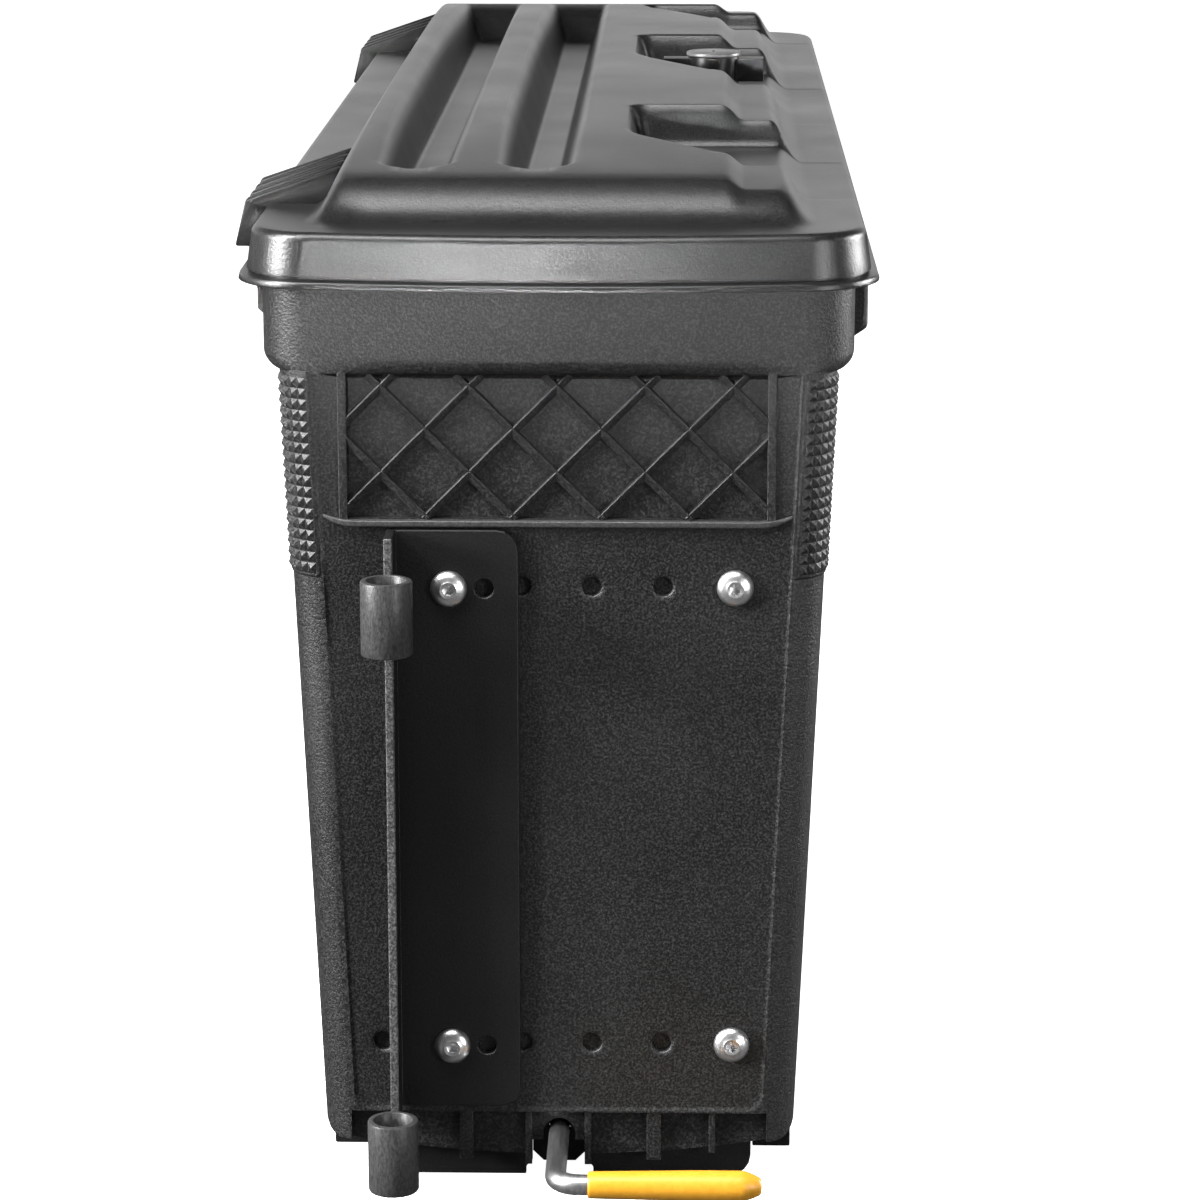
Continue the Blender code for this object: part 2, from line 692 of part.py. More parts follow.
def make_body():
    body = tub()
    recess = outline(body_half(SKIRT_Z) - SKIRT_WALL, SKIRT_END_WALL, DEEP_LENGTH - SKIRT_WALL,
                     CORNER_RADIUS - SKIRT_WALL)
    cut(body, loft([ring_at(recess, 0.0), ring_at(recess, FLOOR_UNDER_Z)]))
    fuse(body, ledge())
    for middle in (GUSSET_NEAR_Y, GUSSET_FAR_Y):
        fuse(body, lip_gusset(middle))
    cut(body, lattice_pockets(), skirt_pockets(), skirt_edge())
    cut(body, rod_arch(-MM, SKIRT_END_WALL + MM))
    cut(body, rod_arch(DEEP_LENGTH - SKIRT_WALL - MM, DEEP_LENGTH + DEEP_DRAFT))
    holes = []
    screwed = screw_places()
    for column in range(HOLE_COLUMNS):
        for height in HOLE_ROWS:
            through = (hole_x(column), height) in screwed
            depth = END_WALL + MM if through else HOLE_DEPTH
            holes.append(bore("Y", (hole_x(column), height), HOLE_RADIUS, -MM, depth))
    for middle in (HINGE_NEAR_Y, HINGE_FAR_Y):
        for along in hinge_rivets_y(middle):
            holes.append(bore("X", (along, hinge_rivet_z()), RIVET_RADIUS + FIT_GAP,
                                           -COLLAR_HALF - MM, -COLLAR_HALF + WALL + MM))
    for along in keeper_rivets_y():
        holes.append(bore("X", (along, keeper_rivet_z()), RIVET_RADIUS + FIT_GAP,
                         COLLAR_HALF - WALL - MM, COLLAR_HALF + MM))
    for place in rail_screw_places():
        holes.append(bore("Z", place, PAN_SHANK_RADIUS + FIT_GAP, FLOOR_UNDER_Z - MM, FLOOR_Z + MM))
    for place in all_member_rivets():
        holes.append(bore("Z", place, RIVET_RADIUS + FIT_GAP, FLOOR_UNDER_Z - MM, FLOOR_Z + MM))
    return cut(body, group(holes))


# Lid


def roof(drop, inset, height, crown):
    """Side view of the raised block: sloped ends and a crowned top, as (y, z)."""
    near, far = BLOCK_NEAR_Y + inset, BLOCK_FAR_Y - inset
    middle, half = (near + far) / 2, (far - near) / 2 - BLOCK_END_SLOPE
    points = [(near, SHELF_Z - LID_WALL / 2 - drop), (near, SHELF_Z - drop)]
    for i in range(-7, 8):
        share = i / 7
        rise = crown * (1 - share ** 4) + BLOCK_FAR_RISE * (share + 1) / 2
        points.append((middle + half * share, SHELF_Z + height + rise - drop))
    points += [(far, SHELF_Z - drop), (far, SHELF_Z - LID_WALL / 2 - drop)]
    return points


def raised_block(left, right, left_slope, right_slope, height, crown):
    tall = (height + crown + BLOCK_FAR_RISE) * 1.5
    profile = [(left, SHELF_Z - LID_WALL), (right, SHELF_Z - LID_WALL), (right, SHELF_Z)]
    profile += [(right - right_slope * tall / height, SHELF_Z + tall)]
    profile += [(left + left_slope * tall / height, SHELF_Z + tall), (left, SHELF_Z)]
    block = prism(profile, "Y", LID_NEAR_Y, LID_FAR_Y)
    return common(block, prism(roof(0.0, 0.0, height, crown), "X", -LIP_HALF, LIP_HALF))


def groove(centre):
    near, far = BLOCK_NEAR_Y + GROOVE_MARGIN, BLOCK_FAR_Y - GROOVE_MARGIN
    half = GROOVE_WIDTH / 2
    floor = SHELF_Z + GROOVE_FLOOR
    low = outline(half - 2 * MM, near + 2 * MM, far - GROOVE_FAR_SLOPE, GROOVE_RADIUS - 2 * MM, 0.0, centre)
    high = outline(half, near, far, GROOVE_RADIUS, 0.0, centre)
    return loft([ring_at(low, floor), ring_at(high, SHELF_Z + BLOCK_HEIGHT),
                      ring_at(high, BLOCK_TOP_Z + MM)])


def notch(start, run, length):
    far = start + length
    outer = BLOCK_RIGHT + 5 * MM
    plan = [(outer, start), (outer, far), (NOTCH_INNER_X, far), (NOTCH_INNER_X, start + run),
            (BLOCK_STEP_X, start)]
    return prism(plan, "Z", NOTCH_FLOOR_Z, BLOCK_TOP_Z + MM)


def underside_pocket(left, right, near, far):
    pocket = box((left, near, LID_UNDER_Z - MM), (right, far, BLOCK_TOP_Z))
    under = roof(LID_WALL, LID_WALL * 2, BLOCK_HEIGHT, BLOCK_CROWN)
    under = [(under[0][0], LID_UNDER_Z - 2 * MM)] + under[1:-1] + [(under[-1][0], LID_UNDER_Z - 2 * MM)]
    return common(pocket, prism(under, "X", -LIP_HALF, LIP_HALF))


def cover_line(depth):
    """Outer line of a hinge cover, from the block over the knee to its lower edge."""
    top_x = -BLOCK_LEFT + COVER_TOP_OUTSET
    knee_x = COVER_TIP_X + COVER_LEAN
    knee_z = HINGE_Z + COVER_KNEE_RISE
    return [(top_x, SHELF_Z + BLOCK_HEIGHT - depth), (knee_x + depth / 2, knee_z - depth),
            (COVER_TIP_X + depth, HINGE_Z - COVER_TIP_DROP)]


def hinge_cover(middle):
    half = HINGE_LENGTH / 2 + FIT_GAP + COVER_WALL
    line = cover_line(0.0)
    inner = -LIP_HALF + LID_WALL_INSET + LID_WALL
    points = line + [(inner, HINGE_Z - COVER_TIP_DROP), (inner, SHELF_Z - LID_WALL / 2),
                     (line[0][0], SHELF_Z - LID_WALL / 2)]
    return prism(points[::-1], "Y", middle - half, middle + half)


def cover_slots(middle):
    half = HINGE_LENGTH / 2 + FIT_GAP + COVER_WALL
    gap = (2 * half - COVER_FINS * COVER_FIN_WIDTH) / (COVER_FINS - 1)
    inner = cover_line(COVER_SLOT_DEPTH)
    low = inner[2][1] - MM
    inner = [inner[0], inner[1], (inner[2][0], low)]
    outside = COVER_TIP_X - 10 * MM
    top = SHELF_Z + 2 * BLOCK_HEIGHT
    points = inner + [(outside, low), (outside, top), (inner[0][0], top)]
    slots = []
    for i in range(COVER_FINS - 1):
        start = middle - half + COVER_FIN_WIDTH + i * (COVER_FIN_WIDTH + gap)
        slots.append(prism(points, "Y", start, start + gap))
    return group(slots)


def hinge_pocket_top():
    return HINGE_Z + KNUCKLE_RADIUS + 7 * MM


def hinge_pocket(middle):
    half = HINGE_LENGTH / 2 + FIT_GAP
    left = COVER_TIP_X + COVER_WALL
    right = -LIP_HALF + LIP_OVERHANG - MM
    return box((left, middle - half, LIP_Z - MM), (right, middle + half, hinge_pocket_top()))


def leaf_screw_x():
    return HINGE_X + PAN_HEAD_RADIUS + FIT_GAP


def leaf_screw_places():
    offset = HINGE_LENGTH / 2 - KNUCKLE_LENGTH - PAN_HEAD_RADIUS - MM
    return [(leaf_screw_x(), middle + side * offset)
            for middle in (HINGE_NEAR_Y, HINGE_FAR_Y) for side in (-1, 1)]


def rim_frame(width, low, high):
    """Closed frame of the given width, centred on the rim's wall."""
    outer, inner = rim_plan(WALL / 2 - width / 2), rim_plan(WALL / 2 + width / 2)
    frame = loft([ring_at(outer, low), ring_at(outer, high)])
    return cut(frame, loft([ring_at(inner, low - MM), ring_at(inner, high + MM)]))


def lid_plan(inset):
    return outline(LIP_HALF - inset, LID_NEAR_Y + inset, LID_FAR_Y - inset, LIP_RADIUS - inset, END_BOW)


def make_lid():
    foot = LID_WALL_INSET
    head = foot + LID_DRAFT
    tip_z = LIP_Z + LIP_THICKNESS
    rings = [ring_at(lid_plan(head + LID_WALL), LID_UNDER_Z), ring_at(lid_plan(foot + LID_WALL), LIP_Z),
             ring_at(lid_plan(0.0), LIP_Z), ring_at(lid_plan(0.0), tip_z - MM), ring_at(lid_plan(MM), tip_z),
             ring_at(lid_plan(foot), tip_z + MM / 2), ring_at(lid_plan(head), SHELF_Z - LID_EDGE_ROUND),
             ring_at(lid_plan(head + LID_EDGE_ROUND * 0.3), SHELF_Z - LID_EDGE_ROUND * 0.3),
             ring_at(lid_plan(head + LID_EDGE_ROUND), SHELF_Z)]
    lid = loft(rings)
    fuse(lid, raised_block(-BLOCK_LEFT, BLOCK_STEP_X + BLOCK_SIDE_SLOPE, BLOCK_SIDE_SLOPE, BLOCK_SIDE_SLOPE,
                           BLOCK_HEIGHT, BLOCK_CROWN))
    fuse(lid, raised_block(NOTCH_INNER_X, BLOCK_RIGHT, 0.0, BLOCK_SIDE_SLOPE,
                           BLOCK_HEIGHT - BLOCK_DROP, BLOCK_STEP_CROWN))
    for middle in (HINGE_NEAR_Y, HINGE_FAR_Y):
        fuse(lid, hinge_cover(middle))
    groove_x = (GROOVE_FIRST_X, GROOVE_FIRST_X + GROOVE_SPACING)
    for centre in groove_x:
        cut(lid, groove(centre))
    for start, run, length in NOTCH_PLACES:
        cut(lid, notch(start, run, length))
    near, far = BLOCK_NEAR_Y, BLOCK_FAR_Y
    between = GROOVE_WIDTH / 2 + LID_WALL
    cut(lid, underside_pocket(groove_x[0] + between, groove_x[1] - between, near, far))
    cut(lid, underside_pocket(groove_x[1] + between, NOTCH_INNER_X - LID_WALL, near, far))
    edge = near
    for start, _, length in NOTCH_PLACES:
        cut(lid, underside_pocket(NOTCH_INNER_X, BLOCK_STEP_X - 2 * BLOCK_SIDE_SLOPE, edge, start - LID_WALL))
        edge = start + length + LID_WALL
    rib_low = RIM_Z + FIT_GAP + SEAL_HEIGHT + FIT_GAP
    fuse(lid, rim_frame(SEAL_WIDTH, rib_low, SHELF_Z - LID_WALL / 2))
    for middle in (HINGE_NEAR_Y, HINGE_FAR_Y):
        cut(lid, cover_slots(middle), hinge_pocket(middle))
    holes = [bore("Z", (LATCH_X, LATCH_Y), HOUSING_TUBE_RADIUS + FIT_GAP, LID_UNDER_Z - MM,
                  NOTCH_FLOOR_Z + MM, ROUND_SIDES)]
    for place in leaf_screw_places():
        holes.append(bore("Z", place, PAN_SHANK_RADIUS + FIT_GAP, hinge_pocket_top() - MM,
                                       hinge_pocket_top() + PAN_SHANK_DEPTH / 2))
    return cut(lid, group(holes))


# Lid hinges


def make_hinge_base(middle):
    """Base riveted to the collar, with two arms that carry the pin."""
    inner = -COLLAR_HALF - FIT_GAP
    outer = inner - HINGE_BASE_THICKNESS
    top = LIP_Z - 3 * MM
    low = top - HINGE_BASE_HEIGHT
    start, end = middle - HINGE_LENGTH / 2, middle + HINGE_LENGTH / 2
    profile = [(inner, low), (inner, top), (outer, top), (outer, low + HINGE_BASE_CHAMFER),
               (outer + HINGE_BASE_CHAMFER, low)]
    base = prism(profile, "Y", start, end)
    arm_right = inner - 2.5 * MM
    arm_left = arm_right - HINGE_ARM
    half = HINGE_ARM / 2
    arm = [(arm_left, top - MM), (arm_right, top - MM), (arm_right, HINGE_Z + half),
           (HINGE_X, HINGE_Z + half), (HINGE_X, HINGE_Z - half), (arm_left, HINGE_Z - half)]
    for low_y, high_y in ((start, start + KNUCKLE_LENGTH), (end - KNUCKLE_LENGTH, end)):
        fuse(base, prism(arm, "Y", low_y, high_y))
        fuse(base, rod("Y", (HINGE_X, HINGE_Z), KNUCKLE_RADIUS, low_y, high_y, SMALL_ROUND_SIDES))
    cut(base, bore("Y", (HINGE_X, HINGE_Z), HINGE_PIN_RADIUS + RUNNING_GAP, start - MM, end + MM))
    for along in hinge_rivets_y(middle):
        cut(base, bore("X", (along, hinge_rivet_z()), RIVET_RADIUS + FIT_GAP, outer - MM, inner + MM))
    return base


def make_hinge_leaf(middle):
    """Leaf screwed inside the cover, with the knuckle between the base's arms."""
    half = HINGE_LENGTH / 2 - KNUCKLE_LENGTH - FIT_GAP
    roof_z = hinge_pocket_top() - FIT_GAP
    left, right = COVER_TIP_X + COVER_WALL + FIT_GAP, leaf_screw_x() + PAN_HEAD_RADIUS + FIT_GAP
    flange = [(left, roof_z - LEAF_THICKNESS), (right, roof_z - LEAF_THICKNESS), (right, roof_z),
              (left, roof_z)]
    web_left = HINGE_X - LEAF_THICKNESS
    web = [(web_left, HINGE_Z), (HINGE_X, HINGE_Z), (HINGE_X, roof_z - MM), (web_left, roof_z - MM)]
    leaf = prism(flange, "Y", middle - half, middle + half)
    fuse(leaf, prism(web, "Y", middle - half, middle + half))
    fuse(leaf, rod("Y", (HINGE_X, HINGE_Z), KNUCKLE_RADIUS, middle - half, middle + half, SMALL_ROUND_SIDES))
    cut(leaf, bore("Y", (HINGE_X, HINGE_Z), HINGE_PIN_RADIUS + RUNNING_GAP, middle - half - MM,
                   middle + half + MM))
    for x, y in leaf_screw_places():
        if abs(y - middle) < half:
            cut(leaf, bore("Z", (x, y), PAN_SHANK_RADIUS + FIT_GAP, roof_z - 2 * LEAF_THICKNESS, roof_z + MM))
    return leaf


def make_hinge_pin(middle):
    half = HINGE_LENGTH / 2
    chamfer = HINGE_PIN_RADIUS / 4
    profile = [(HINGE_PIN_RADIUS - chamfer, middle - half), (HINGE_PIN_RADIUS, middle - half + chamfer),
               (HINGE_PIN_RADIUS, middle + half - chamfer), (HINGE_PIN_RADIUS - chamfer, middle + half)]
    return turned(profile, "Y", (HINGE_X, HINGE_Z), SMALL_ROUND_SIDES)


# Fasteners


def rivet(axis, centre, low, high):
    """Rivet clamped between two faces, with a low dome at each end."""
    head = RIVET_HEAD_HEIGHT
    profile = [(RIVET_HEAD_RADIUS * 0.6, low - FIT_GAP - head), (RIVET_HEAD_RADIUS, low - FIT_GAP),
               (RIVET_RADIUS, low - FIT_GAP), (RIVET_RADIUS, high + FIT_GAP),
               (RIVET_HEAD_RADIUS, high + FIT_GAP), (RIVET_HEAD_RADIUS * 0.6, high + FIT_GAP + head)]
    return turned(profile, axis, centre, SMALL_ROUND_SIDES)


def pan_screw(centre, seat, downwards, depth):
    """Pan-head screw along Z whose head rests on the seat."""
    side = 1 if downwards else -1
    head = PAN_HEAD_HEIGHT
    profile = [(PAN_SHANK_RADIUS, seat - side * depth), (PAN_SHANK_RADIUS, seat + side * FIT_GAP),
               (PAN_HEAD_RADIUS, seat + side * FIT_GAP),
               (PAN_HEAD_RADIUS * 0.75, seat + side * (FIT_GAP + head))]
    return turned(profile, "Z", centre, SMALL_ROUND_SIDES)


def screw_seat(x):
    """Face that a panel screw's head rests on."""
    on_bracket = BRACKET_LEFT_X < x < BRACKET_LEFT_X + BRACKET_WIDTH
    return -FIT_GAP - BRACKET_THICKNESS if on_bracket else 0.0


def button_screw(x, z):
    seat = screw_seat(x) - FIT_GAP
    end = BACKING_Y + BACKING_THICKNESS + SCREW_NUT + 2 * MM
    height = SCREW_HEAD_HEIGHT
    profile = [(SCREW_SHANK_RADIUS, end), (SCREW_SHANK_RADIUS, seat), (SCREW_HEAD_RADIUS, seat),
               (SCREW_HEAD_RADIUS * 0.9, seat - height * 0.55), (SCREW_HEAD_RADIUS * 0.6, seat - height)]
    screw = turned(profile, "Y", (x, z))
    socket = rod("Y", (x, z), SCREW_SOCKET_RADIUS, seat - height - MM, seat - height + SCREW_SOCKET_DEPTH, 6)
    return cut(screw, socket)


def hex_nut(axis, centre, radius, hole, low, high):
    nut = rod(axis, centre, radius, low, high, 6)
    return cut(nut, bore(axis, centre, hole, low - MM, high + MM))


def make_panel_screws():
    return [button_screw(x, z) for x, z in screw_places()]


def make_panel_nuts():
    low = BACKING_Y + BACKING_THICKNESS + FIT_GAP
    return [hex_nut("Y", place, SCREW_NUT_RADIUS, SCREW_SHANK_RADIUS + FIT_GAP, low, low + SCREW_NUT)
            for place in screw_places()]


# Bracket on the end panel


def make_bracket():
    left, right = BRACKET_LEFT_X, BRACKET_LEFT_X + BRACKET_WIDTH
    low = FLOOR_Z + BRACKET_BOTTOM
    high = low + BRACKET_HEIGHT
    r = BRACKET_CORNER
    plate = [(left, low)] + arc((right - r, low + r), r, -90, 0, 4) + arc((right - r, high - r), r, 0, 90, 4)
    plate.append((left, high))
    bracket = prism(plate, "Y", -FIT_GAP - BRACKET_THICKNESS, -FIT_GAP)
    leg_end = -BARREL_REACH + BARREL_RADIUS + FIT_GAP
    inner = -FIT_GAP - BRACKET_THICKNESS / 2
    foot = LOWER_BARREL_Z + BARREL_LENGTH / 12
    leg = [(leg_end, foot), (leg_end / 2, foot), (inner, low), (inner, high), (leg_end, high)]
    fuse(bracket, prism(leg, "X", left, left + BRACKET_THICKNESS))
    holes = []
    for height in HOLE_ROWS:
        holes.append(bore("Y", (hole_x(SCREW_COLUMNS[0]), height), HOLE_RADIUS, -BARREL_REACH / 2, MM))
        holes.append(bore("Y", (BRACKET_SPARE_HOLE_X, height), HOLE_RADIUS, -BARREL_REACH / 2, MM))
    return cut(bracket, group(holes))


def make_barrel(low):
    centre = (BRACKET_LEFT_X + BRACKET_THICKNESS / 2, -BARREL_REACH)
    barrel = rod("Z", centre, BARREL_RADIUS, low, low + BARREL_LENGTH)
    return cut(barrel, rod("Z", centre, BARREL_BORE, low - MM, low + BARREL_LENGTH + MM))


def make_backing_plate():
    xs = [x for x, _ in screw_places()]
    zs = [z for _, z in screw_places()]
    plate = box((min(xs) - BACKING_MARGIN, BACKING_Y, min(zs) - BACKING_MARGIN),
                (max(xs) + BACKING_MARGIN, BACKING_Y + BACKING_THICKNESS, max(zs) + BACKING_MARGIN))
    holes = [bore("Y", place, HOLE_RADIUS, BACKING_Y - MM, BACKING_Y + 2 * BACKING_THICKNESS)
             for place in screw_places()]
    return cut(plate, group(holes))


# Undercarriage


def make_rail(side):
    outer = body_half(SKIRT_Z)
    inner = outer - RAIL_WIDTH
    top = SKIRT_Z - FIT_GAP
    web_top = FLOOR_UNDER_Z - FIT_GAP
    profile = [(inner, 0.0), (outer, 0.0), (outer, top), (inner + RAIL_WEB, top), (inner + RAIL_WEB, web_top),
               (inner, web_top)]
    rail = prism([(side * x, z) for x, z in profile], "Y", RAIL_START_Y, DEEP_LENGTH - RAIL_END_MARGIN)
    holes = [bore("Z", place, PAN_SHANK_RADIUS + FIT_GAP, web_top - PAN_SHANK_DEPTH, web_top + MM)
             for place in rail_screw_places() if place[0] * side > 0]
    return cut(rail, group(holes))


def make_rail_screws():
    return [pan_screw(place, FLOOR_Z, True, WALL + PAN_SHANK_DEPTH - MM) for place in rail_screw_places()]


def cross_member(member_y, direction):
    """Angle under the floor: a standing plate with rounded feet and a flange."""
    half = MEMBER_WIDTH / 2
    top = FLOOR_UNDER_Z - FIT_GAP
    r = MEMBER_CORNER
    face = arc((-half + r, r), r, 180, 270, 4) + arc((half - r, r), r, 270, 360, 4)
    face += [(half, top), (-half, top)]
    back = member_y + direction * MEMBER_THICKNESS
    member = prism(face, "Y", min(member_y, back), max(member_y, back))
    reach = back + direction * MEMBER_FLANGE
    start = member_y + direction * MEMBER_THICKNESS / 2
    flange = box((-half, min(start, reach), top - MEMBER_THICKNESS), (half, max(start, reach), top))
    fuse(member, flange)
    holes = [bore("Z", place, RIVET_RADIUS + FIT_GAP, top - 2 * MEMBER_THICKNESS, top + MM)
             for place in member_rivet_places(member_y, direction)]
    return cut(member, group(holes))


def make_front_member():
    member = cross_member(FRONT_MEMBER_Y, 1)
    half = BUSHING_WIDTH / 2 + FIT_GAP
    flare = half + 3 * MM
    mouth = ROD_Z - BUSHING_DROP - MM
    top = ROD_Z + ROD_RADIUS + BUSHING_WALL + FIT_GAP
    slot = [(-flare, -MM), (flare, -MM), (flare, mouth - 3 * MM), (half, mouth), (half, top), (-half, top),
            (-half, mouth), (-flare, mouth - 3 * MM)]
    back = FRONT_MEMBER_Y + (MEMBER_THICKNESS + BUSHING_LENGTH) / 2 + FIT_GAP
    return cut(member, prism(slot, "Y", FRONT_MEMBER_Y - MM, back))


def make_front_bushing():
    """Clip in the cross member's slot, bored for the rod."""
    half = BUSHING_WIDTH / 2
    low = ROD_Z - BUSHING_DROP
    top = ROD_Z + ROD_RADIUS + BUSHING_WALL
    cheek = half * 0.6
    face = [(-cheek, low), (cheek, low), (half, low + half - cheek), (half, top), (-half, top),
            (-half, low + half - cheek)]
    middle = FRONT_MEMBER_Y + MEMBER_THICKNESS / 2
    clip = prism(face, "Y", middle - BUSHING_LENGTH / 2 + MM, middle + BUSHING_LENGTH / 2)
    return cut(clip, bore("Y", (0.0, ROD_Z), ROD_RADIUS + RUNNING_GAP, middle - BUSHING_LENGTH,
                          middle + BUSHING_LENGTH))


def make_rear_member():
    member = cross_member(REAR_MEMBER_Y, -1)
    half = COLLAR_RING_RADIUS + 2 * MM
    back = REAR_MEMBER_Y - MEMBER_THICKNESS
    cut(member, box((-half, back - MEMBER_FLANGE - MM, ROD_Z), (half, back, FLOOR_UNDER_Z)))
    return cut(member, bore("Y", (0.0, ROD_Z), REAR_BUSHING_NECK + FIT_GAP, back - MM, REAR_MEMBER_Y + MM))


def make_rear_bushing():
    start = REAR_MEMBER_Y - MEMBER_THICKNESS - MM
    seat = REAR_MEMBER_Y + FIT_GAP
    neck, flange = REAR_BUSHING_NECK, ROD_DROP - 2 * FIT_GAP
    profile = [(neck, start), (neck, seat), (flange, seat), (flange, seat + 3 * MM)]
    bushing = turned(profile, "Y", (0.0, ROD_Z))
    return cut(bushing, bore("Y", (0.0, ROD_Z), ROD_RADIUS + RUNNING_GAP, start - MM, seat + 4 * MM))


def make_member_rivets():
    low = FLOOR_UNDER_Z - FIT_GAP - MEMBER_THICKNESS
    return [rivet("Z", place, low, FLOOR_Z) for place in all_member_rivets()]


# Release rod


def make_rod():
    """Bar along the floor that bends to the latch side in front of the end panel."""
    r = ROD_BEND_RADIUS
    points = [(GRIP_END - GRIP_TIP - 2 * MM, -ROD_REACH, ROD_Z)]
    points += [(x, y, ROD_Z) for x, y in arc((r, -ROD_REACH + r), r, 270, 180, 8)]
    points.append((0.0, PAWL_Y + PAWL_THICKNESS + 3 * MM, ROD_Z))
    bar = tube(points, ROD_RADIUS, SMALL_ROUND_SIDES)
    return cut(bar, bore("Z", (0.0, PAWL_Y + PAWL_THICKNESS / 2), PAWL_PIN_RADIUS + FIT_GAP,
                         ROD_Z - 2 * ROD_RADIUS, ROD_Z + 2 * ROD_RADIUS))


def make_grip():
    start, end = GRIP_START, GRIP_END
    profile = [(GRIP_RADIUS * 0.94, start), (GRIP_RADIUS * 0.97, start + MM),
               (GRIP_RADIUS, start + GRIP_LENGTH / 2), (GRIP_RADIUS, end - GRIP_TIP),
               (GRIP_RADIUS * 0.86, end - GRIP_TIP * 0.55),
               (GRIP_RADIUS * 0.5, end - GRIP_TIP * 0.15), (GRIP_RADIUS * 0.16, end)]
    grip = turned(profile, "X", (-ROD_REACH, ROD_Z))
    bore_end = end - GRIP_TIP - 2 * MM + FIT_GAP
    return cut(grip, bore("X", (-ROD_REACH, ROD_Z), ROD_RADIUS + FIT_GAP, start - MM, bore_end))


def spring_start_y():
    return REAR_MEMBER_Y - MEMBER_THICKNESS - 2 * MM - SPRING_TURNS * SPRING_PITCH


def collar_ring_y():
    return spring_start_y() - SPRING_LEG - COLLAR_RING_LENGTH


def make_rod_collar():
    low = collar_ring_y()
    ring = rod("Y", (0.0, ROD_Z), COLLAR_RING_RADIUS, low, low + COLLAR_RING_LENGTH)
    cut(ring, bore("Y", (0.0, ROD_Z), ROD_RADIUS + FIT_GAP, low - MM, low + COLLAR_RING_LENGTH + MM))
    return cut(ring, bore("Y", (-SPRING_RADIUS, ROD_Z), SPRING_WIRE + FIT_GAP, low + COLLAR_RING_LENGTH / 2,
                         low + COLLAR_RING_LENGTH + MM))


def make_spring():
    """Torsion spring: one leg in the rod's collar, the other against the floor."""
    start = spring_start_y()
    hold = collar_ring_y() + COLLAR_RING_LENGTH / 2 + 2 * FIT_GAP
    points = [(-SPRING_RADIUS, hold, ROD_Z), (-SPRING_RADIUS, start - SPRING_WIRE, ROD_Z)]
    count = SPRING_TURNS * SPRING_POINTS
    for i in range(count + 1):
        turn = math.pi + 2 * math.pi * i / SPRING_POINTS
        points.append((SPRING_RADIUS * math.cos(turn), start + SPRING_PITCH * i / SPRING_POINTS,
                       ROD_Z + SPRING_RADIUS * math.sin(turn)))
    end_y = start + SPRING_PITCH * SPRING_TURNS + SPRING_WIRE / 2
    points.append((-SPRING_RADIUS, end_y, FLOOR_UNDER_Z - FIT_GAP))
    gap = least_gap(points, SPRING_WIRE, SPRING_POINTS // 2)
    print("return spring: least gap to itself", round(gap / MM, 2), "mm")
    return tube(points, SPRING_WIRE, 5)


def make_pawl():
    """Hook at the rod's far end that catches the bed strike."""
    arm = PAWL_RADIUS * 0.7
    reach = PAWL_REACH
    neck = reach - PAWL_HOOK
    hook = [(0.0, ROD_Z - arm), (neck, ROD_Z - arm), (neck, ROD_Z - arm - PAWL_HOOK),
            (reach, ROD_Z - arm - PAWL_HOOK + 2 * MM), (reach, ROD_Z + arm * 0.4), (neck, ROD_Z + arm),
            (0.0, ROD_Z + arm)]
    pawl = prism(hook, "Y", PAWL_Y, PAWL_Y + PAWL_THICKNESS)
    fuse(pawl, rod("Y", (0.0, ROD_Z), PAWL_RADIUS, PAWL_Y, PAWL_Y + PAWL_THICKNESS))
    cut(pawl, bore("Y", (0.0, ROD_Z), ROD_RADIUS + FIT_GAP, PAWL_Y - MM, PAWL_Y + PAWL_THICKNESS + MM))
    return cut(pawl, bore("Z", (0.0, PAWL_Y + PAWL_THICKNESS / 2), PAWL_PIN_RADIUS + FIT_GAP,
                         ROD_Z - 2 * PAWL_RADIUS, ROD_Z + 2 * PAWL_RADIUS))


def make_pawl_pin():
    reach = PAWL_RADIUS
    return rod("Z", (0.0, PAWL_Y + PAWL_THICKNESS / 2), PAWL_PIN_RADIUS, ROD_Z - reach, ROD_Z + reach,
               SMALL_ROUND_SIDES)


# Twist latch


def make_housing():
    low = LID_UNDER_Z - HOUSING_TUBE_REACH
    seat = NOTCH_FLOOR_Z + FIT_GAP
    profile = [(HOUSING_TUBE_RADIUS, low), (HOUSING_TUBE_RADIUS, seat), (HOUSING_FLANGE_RADIUS, seat),
               (HOUSING_FLANGE_RADIUS, seat + HOUSING_FLANGE * 0.6),
               (HOUSING_FLANGE_RADIUS - HOUSING_FLANGE * 0.4, seat + HOUSING_FLANGE),
               (HOUSING_POST_RADIUS, seat + HOUSING_FLANGE), (HOUSING_POST_RADIUS, HOUSING_TOP_Z)]
    housing = turned(profile, "Z", (LATCH_X, LATCH_Y))
    hole = SHAFT_RADIUS + RUNNING_GAP
    return cut(housing, bore("Z", (LATCH_X, LATCH_Y), hole, low - MM, HOUSING_TOP_Z + MM, ROUND_SIDES))


def make_housing_nut():
    high = LID_UNDER_Z - FIT_GAP
    hole = HOUSING_TUBE_RADIUS + FIT_GAP
    return hex_nut("Z", (LATCH_X, LATCH_Y), HOUSING_NUT_RADIUS, hole, high - HOUSING_NUT, high)


